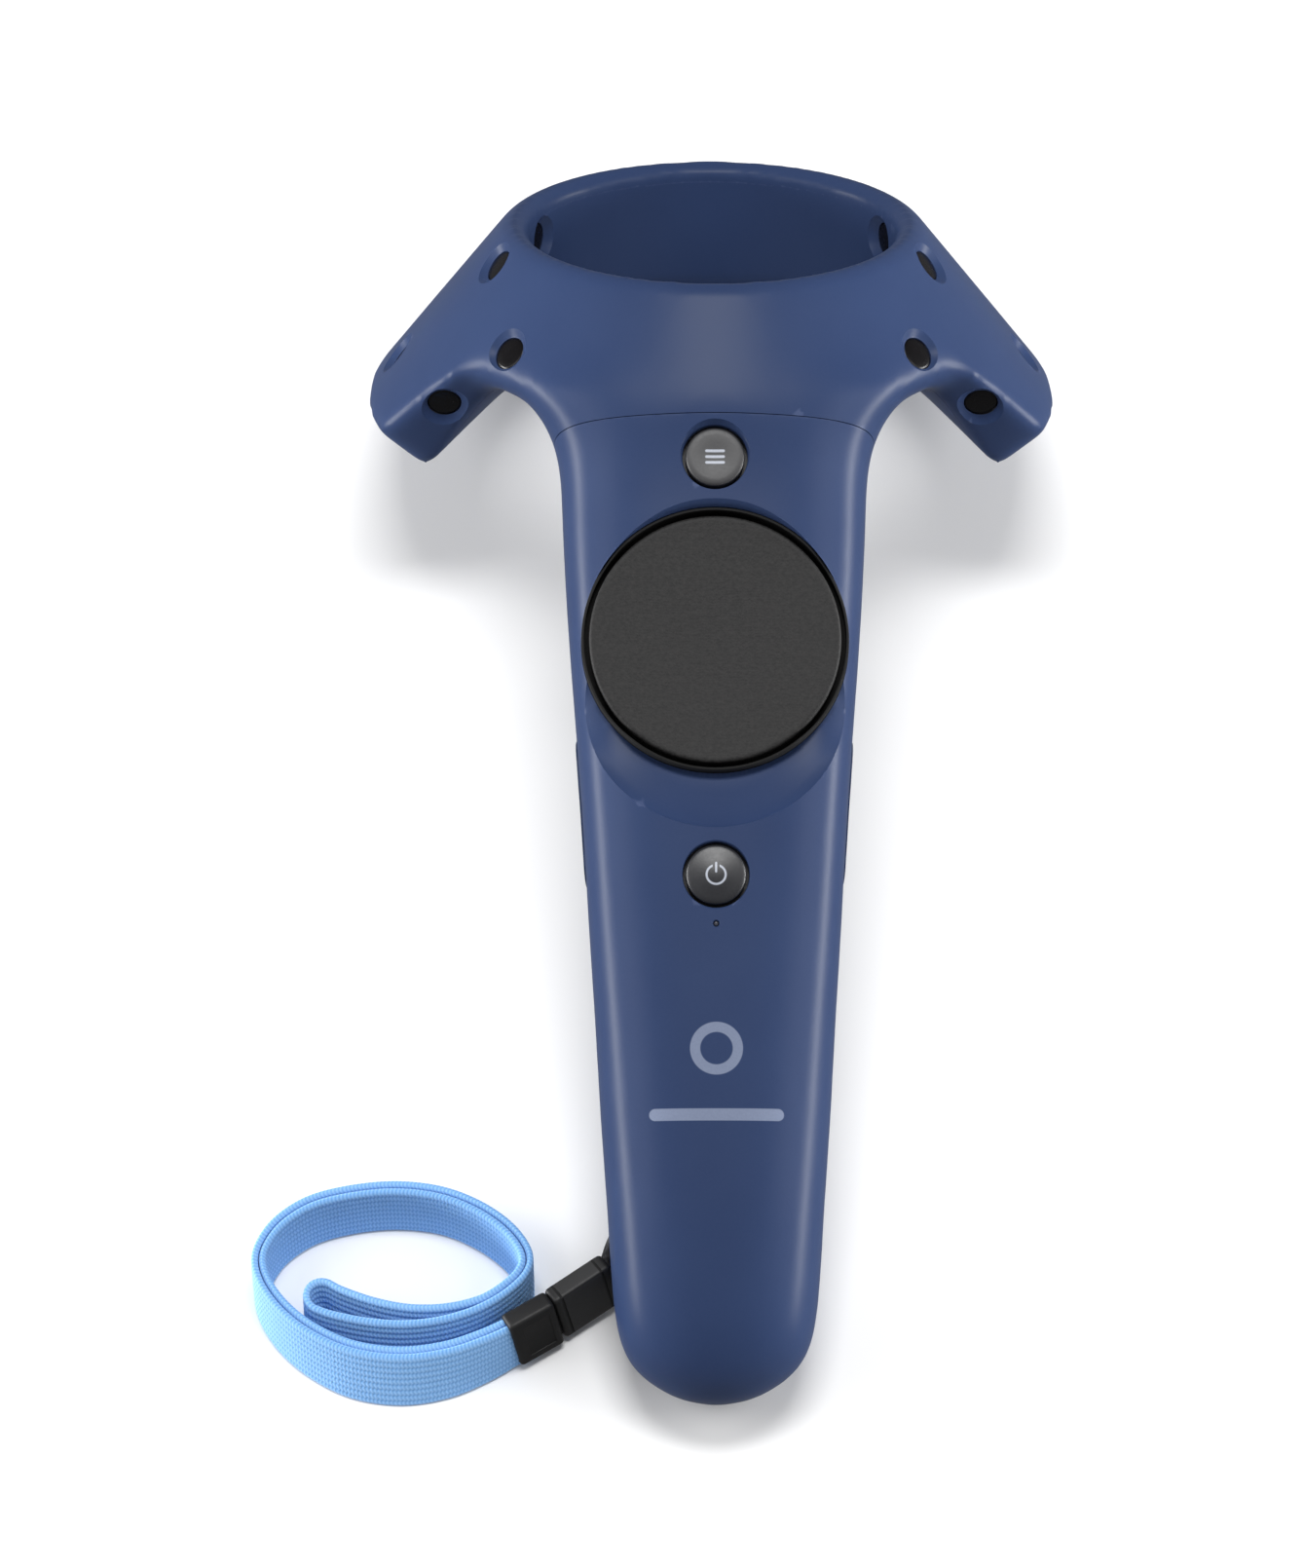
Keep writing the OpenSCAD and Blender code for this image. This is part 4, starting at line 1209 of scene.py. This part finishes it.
MATERIALS = {
    "shell": satin_moulding(),
    "bezel": black_moulding("bezel_moulding", (0.002, 0.002, 0.002), (0.004, 0.004, 0.0042), 0.7),
    "black": black_moulding("black_satin_moulding", (0.004, 0.004, 0.0045), (0.008, 0.008, 0.0085)),
    "clip": black_moulding("clip_moulding", (0.006, 0.006, 0.0065), (0.012, 0.012, 0.0125), 0.42,
                           1500),
    "pad": pad_material(),
    "menu": button_material("menu_button_satin", MENU_Y, "bars", (0.024, 0.024, 0.026),
                            (0.034, 0.034, 0.037), 0.42),
    "system": button_material("system_button_satin", SYSTEM_Y, "power", (0.008, 0.0085, 0.011),
                              (0.015, 0.016, 0.02), 0.32),
    "window": window_material(),
    "webbing": webbing_material(),
    "cord": cord_material(),
    "steel": metal("drawn_steel", (0.42, 0.42, 0.43), (0.62, 0.62, 0.63), 0.28, (1, 12, 12)),
    "screw": metal("blackened_steel", (0.03, 0.03, 0.032), (0.08, 0.08, 0.085), 0.34),
    "can": metal("tinned_can", (0.5, 0.5, 0.49), (0.68, 0.68, 0.66), 0.3, (1, 8, 8)),
    "gold": metal("plated_contact", (0.6, 0.42, 0.16), (0.8, 0.6, 0.28), 0.25),
    "foil": metal("battery_foil", (0.42, 0.43, 0.45), (0.6, 0.61, 0.63), 0.42, (2, 1, 1), 0.8),
    "board": board_material(),
    "film": film_material(),
    "frame": black_moulding("frame_moulding", (0.07, 0.07, 0.075), (0.1, 0.1, 0.105), 0.5, 1200),
    "chip": black_moulding("chip_moulding", (0.014, 0.014, 0.014), (0.026, 0.026, 0.026), 0.5,
                           2600),
    "light": black_moulding("smoked_light", (0.012, 0.013, 0.02), (0.03, 0.032, 0.045), 0.15, 900),
}


def dress(obj, name):
    """Give a piece one of the materials."""
    obj.data.materials.clear()
    obj.data.materials.append(MATERIALS[name])


# Each new piece with its looks, the body it rides on and its material slot
PIECES = [
    (head_outer, "shell", "controller", "shell"),
    (head_inner, "shell", "controller", "shell"),
    (front_cover, "shell", "controller", "shell"),
    (rear_cover, "shell", "controller", "shell"),
    (left_grip, "shell", "left_grip", "shell"),
    (right_grip, "shell", "right_grip", "shell"),
    (bezel, "bezel", "controller", "black_plastic"),
    (pad_cap, "pad", "trackpad", "pad_plastic"),
    (menu, "menu", "menu_button", "button_plastic"),
    (system, "system", "system_button", "button_plastic"),
    (trigger, "black", "trigger", "black_plastic"),
    (screws, "screw", "controller", "screw_steel"),
    (socket, "can", "controller", "can_metal"),
    (outer_windows, "window", "controller", "window_plastic"),
    (inner_windows, "window", "controller", "window_plastic"),
    (end_windows, "window", "controller", "window_plastic"),
    (light_pipe, "light", "controller", "light_pipe"),
    (webbing, "webbing", "controller", "webbing"),
    (clip, "clip", "controller", "black_plastic"),
    (connector, "clip", "controller", "black_plastic"),
    (lanyard, "cord", "controller", "cord_fabric")]
for piece, look_name, body, slot in PIECES:
    dress(piece, look_name)
    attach(piece, body)

# Looks of the carried-over pieces, by material slot
NODE_LOOKS = {
    "board": "board", "cell": "chip", "flex": "film", "switch_metal": "can", "chip_plastic": "chip",
    "light_pipe": "light", "magnet": "steel", "steel": "steel", "frame_plastic": "frame",
    "screw_steel": "screw", "can_metal": "can", "antenna_metal": "gold", "foil": "foil",
    "black_plastic": "black", "shell": "shell", "window_plastic": "window", "pad_plastic": "pad",
    "button_plastic": "black", "webbing": "webbing", "cord_fabric": "cord"}
for entry in frame["record"]["subparts"]:
    dress(frame["nodes"][entry["node"]], NODE_LOOKS[entry["material_slot"]])

# ---- Table and light ----
fresh()
bpy.ops.mesh.primitive_plane_add(size=6, location=(0, 0, 0))
floor = added("table_top")
floor_material = material("pale_table")
tree = floor_material.node_tree
mottle = grain(tree, place(tree), 3, 3)
finish(floor_material, mix(tree, mottle, (0.86, 0.86, 0.86), (0.9, 0.9, 0.9)), 0.7)
floor.data.materials.append(floor_material)
floor.visible_glossy = False

bpy.context.scene.view_settings.view_transform = "Standard"
world = bpy.data.worlds.new("studio")
bpy.context.scene.world = world
world.use_nodes = True
world.node_tree.nodes["Background"].inputs["Color"].default_value = (1, 1, 1, 1)
world.node_tree.nodes["Background"].inputs["Strength"].default_value = 0.24


def soft_light(location, target, size, power):
    """A rectangular area light that faces a point."""
    bpy.ops.object.light_add(type="AREA", location=location)
    lamp = bpy.context.object
    lamp.data.shape = "RECTANGLE"
    lamp.data.size, lamp.data.size_y = size
    lamp.data.energy = power
    lamp.rotation_euler = (Vector(target) - Vector(location)).to_track_quat("-Z", "Y").to_euler()


for side in (-1, 1):
    soft_light((side * 0.75, 0.02, 0.07), (0, 0.02, 0.03), (0.5, 0.1), 7)
    soft_light((side * 0.8, -0.04, 0.74), (0, 0, 0.03), (0.5, 0.55), 3.8)
soft_light((0, 0.2, 1.1), (0, 0.03, 0), (0.5, 0.24), 8)
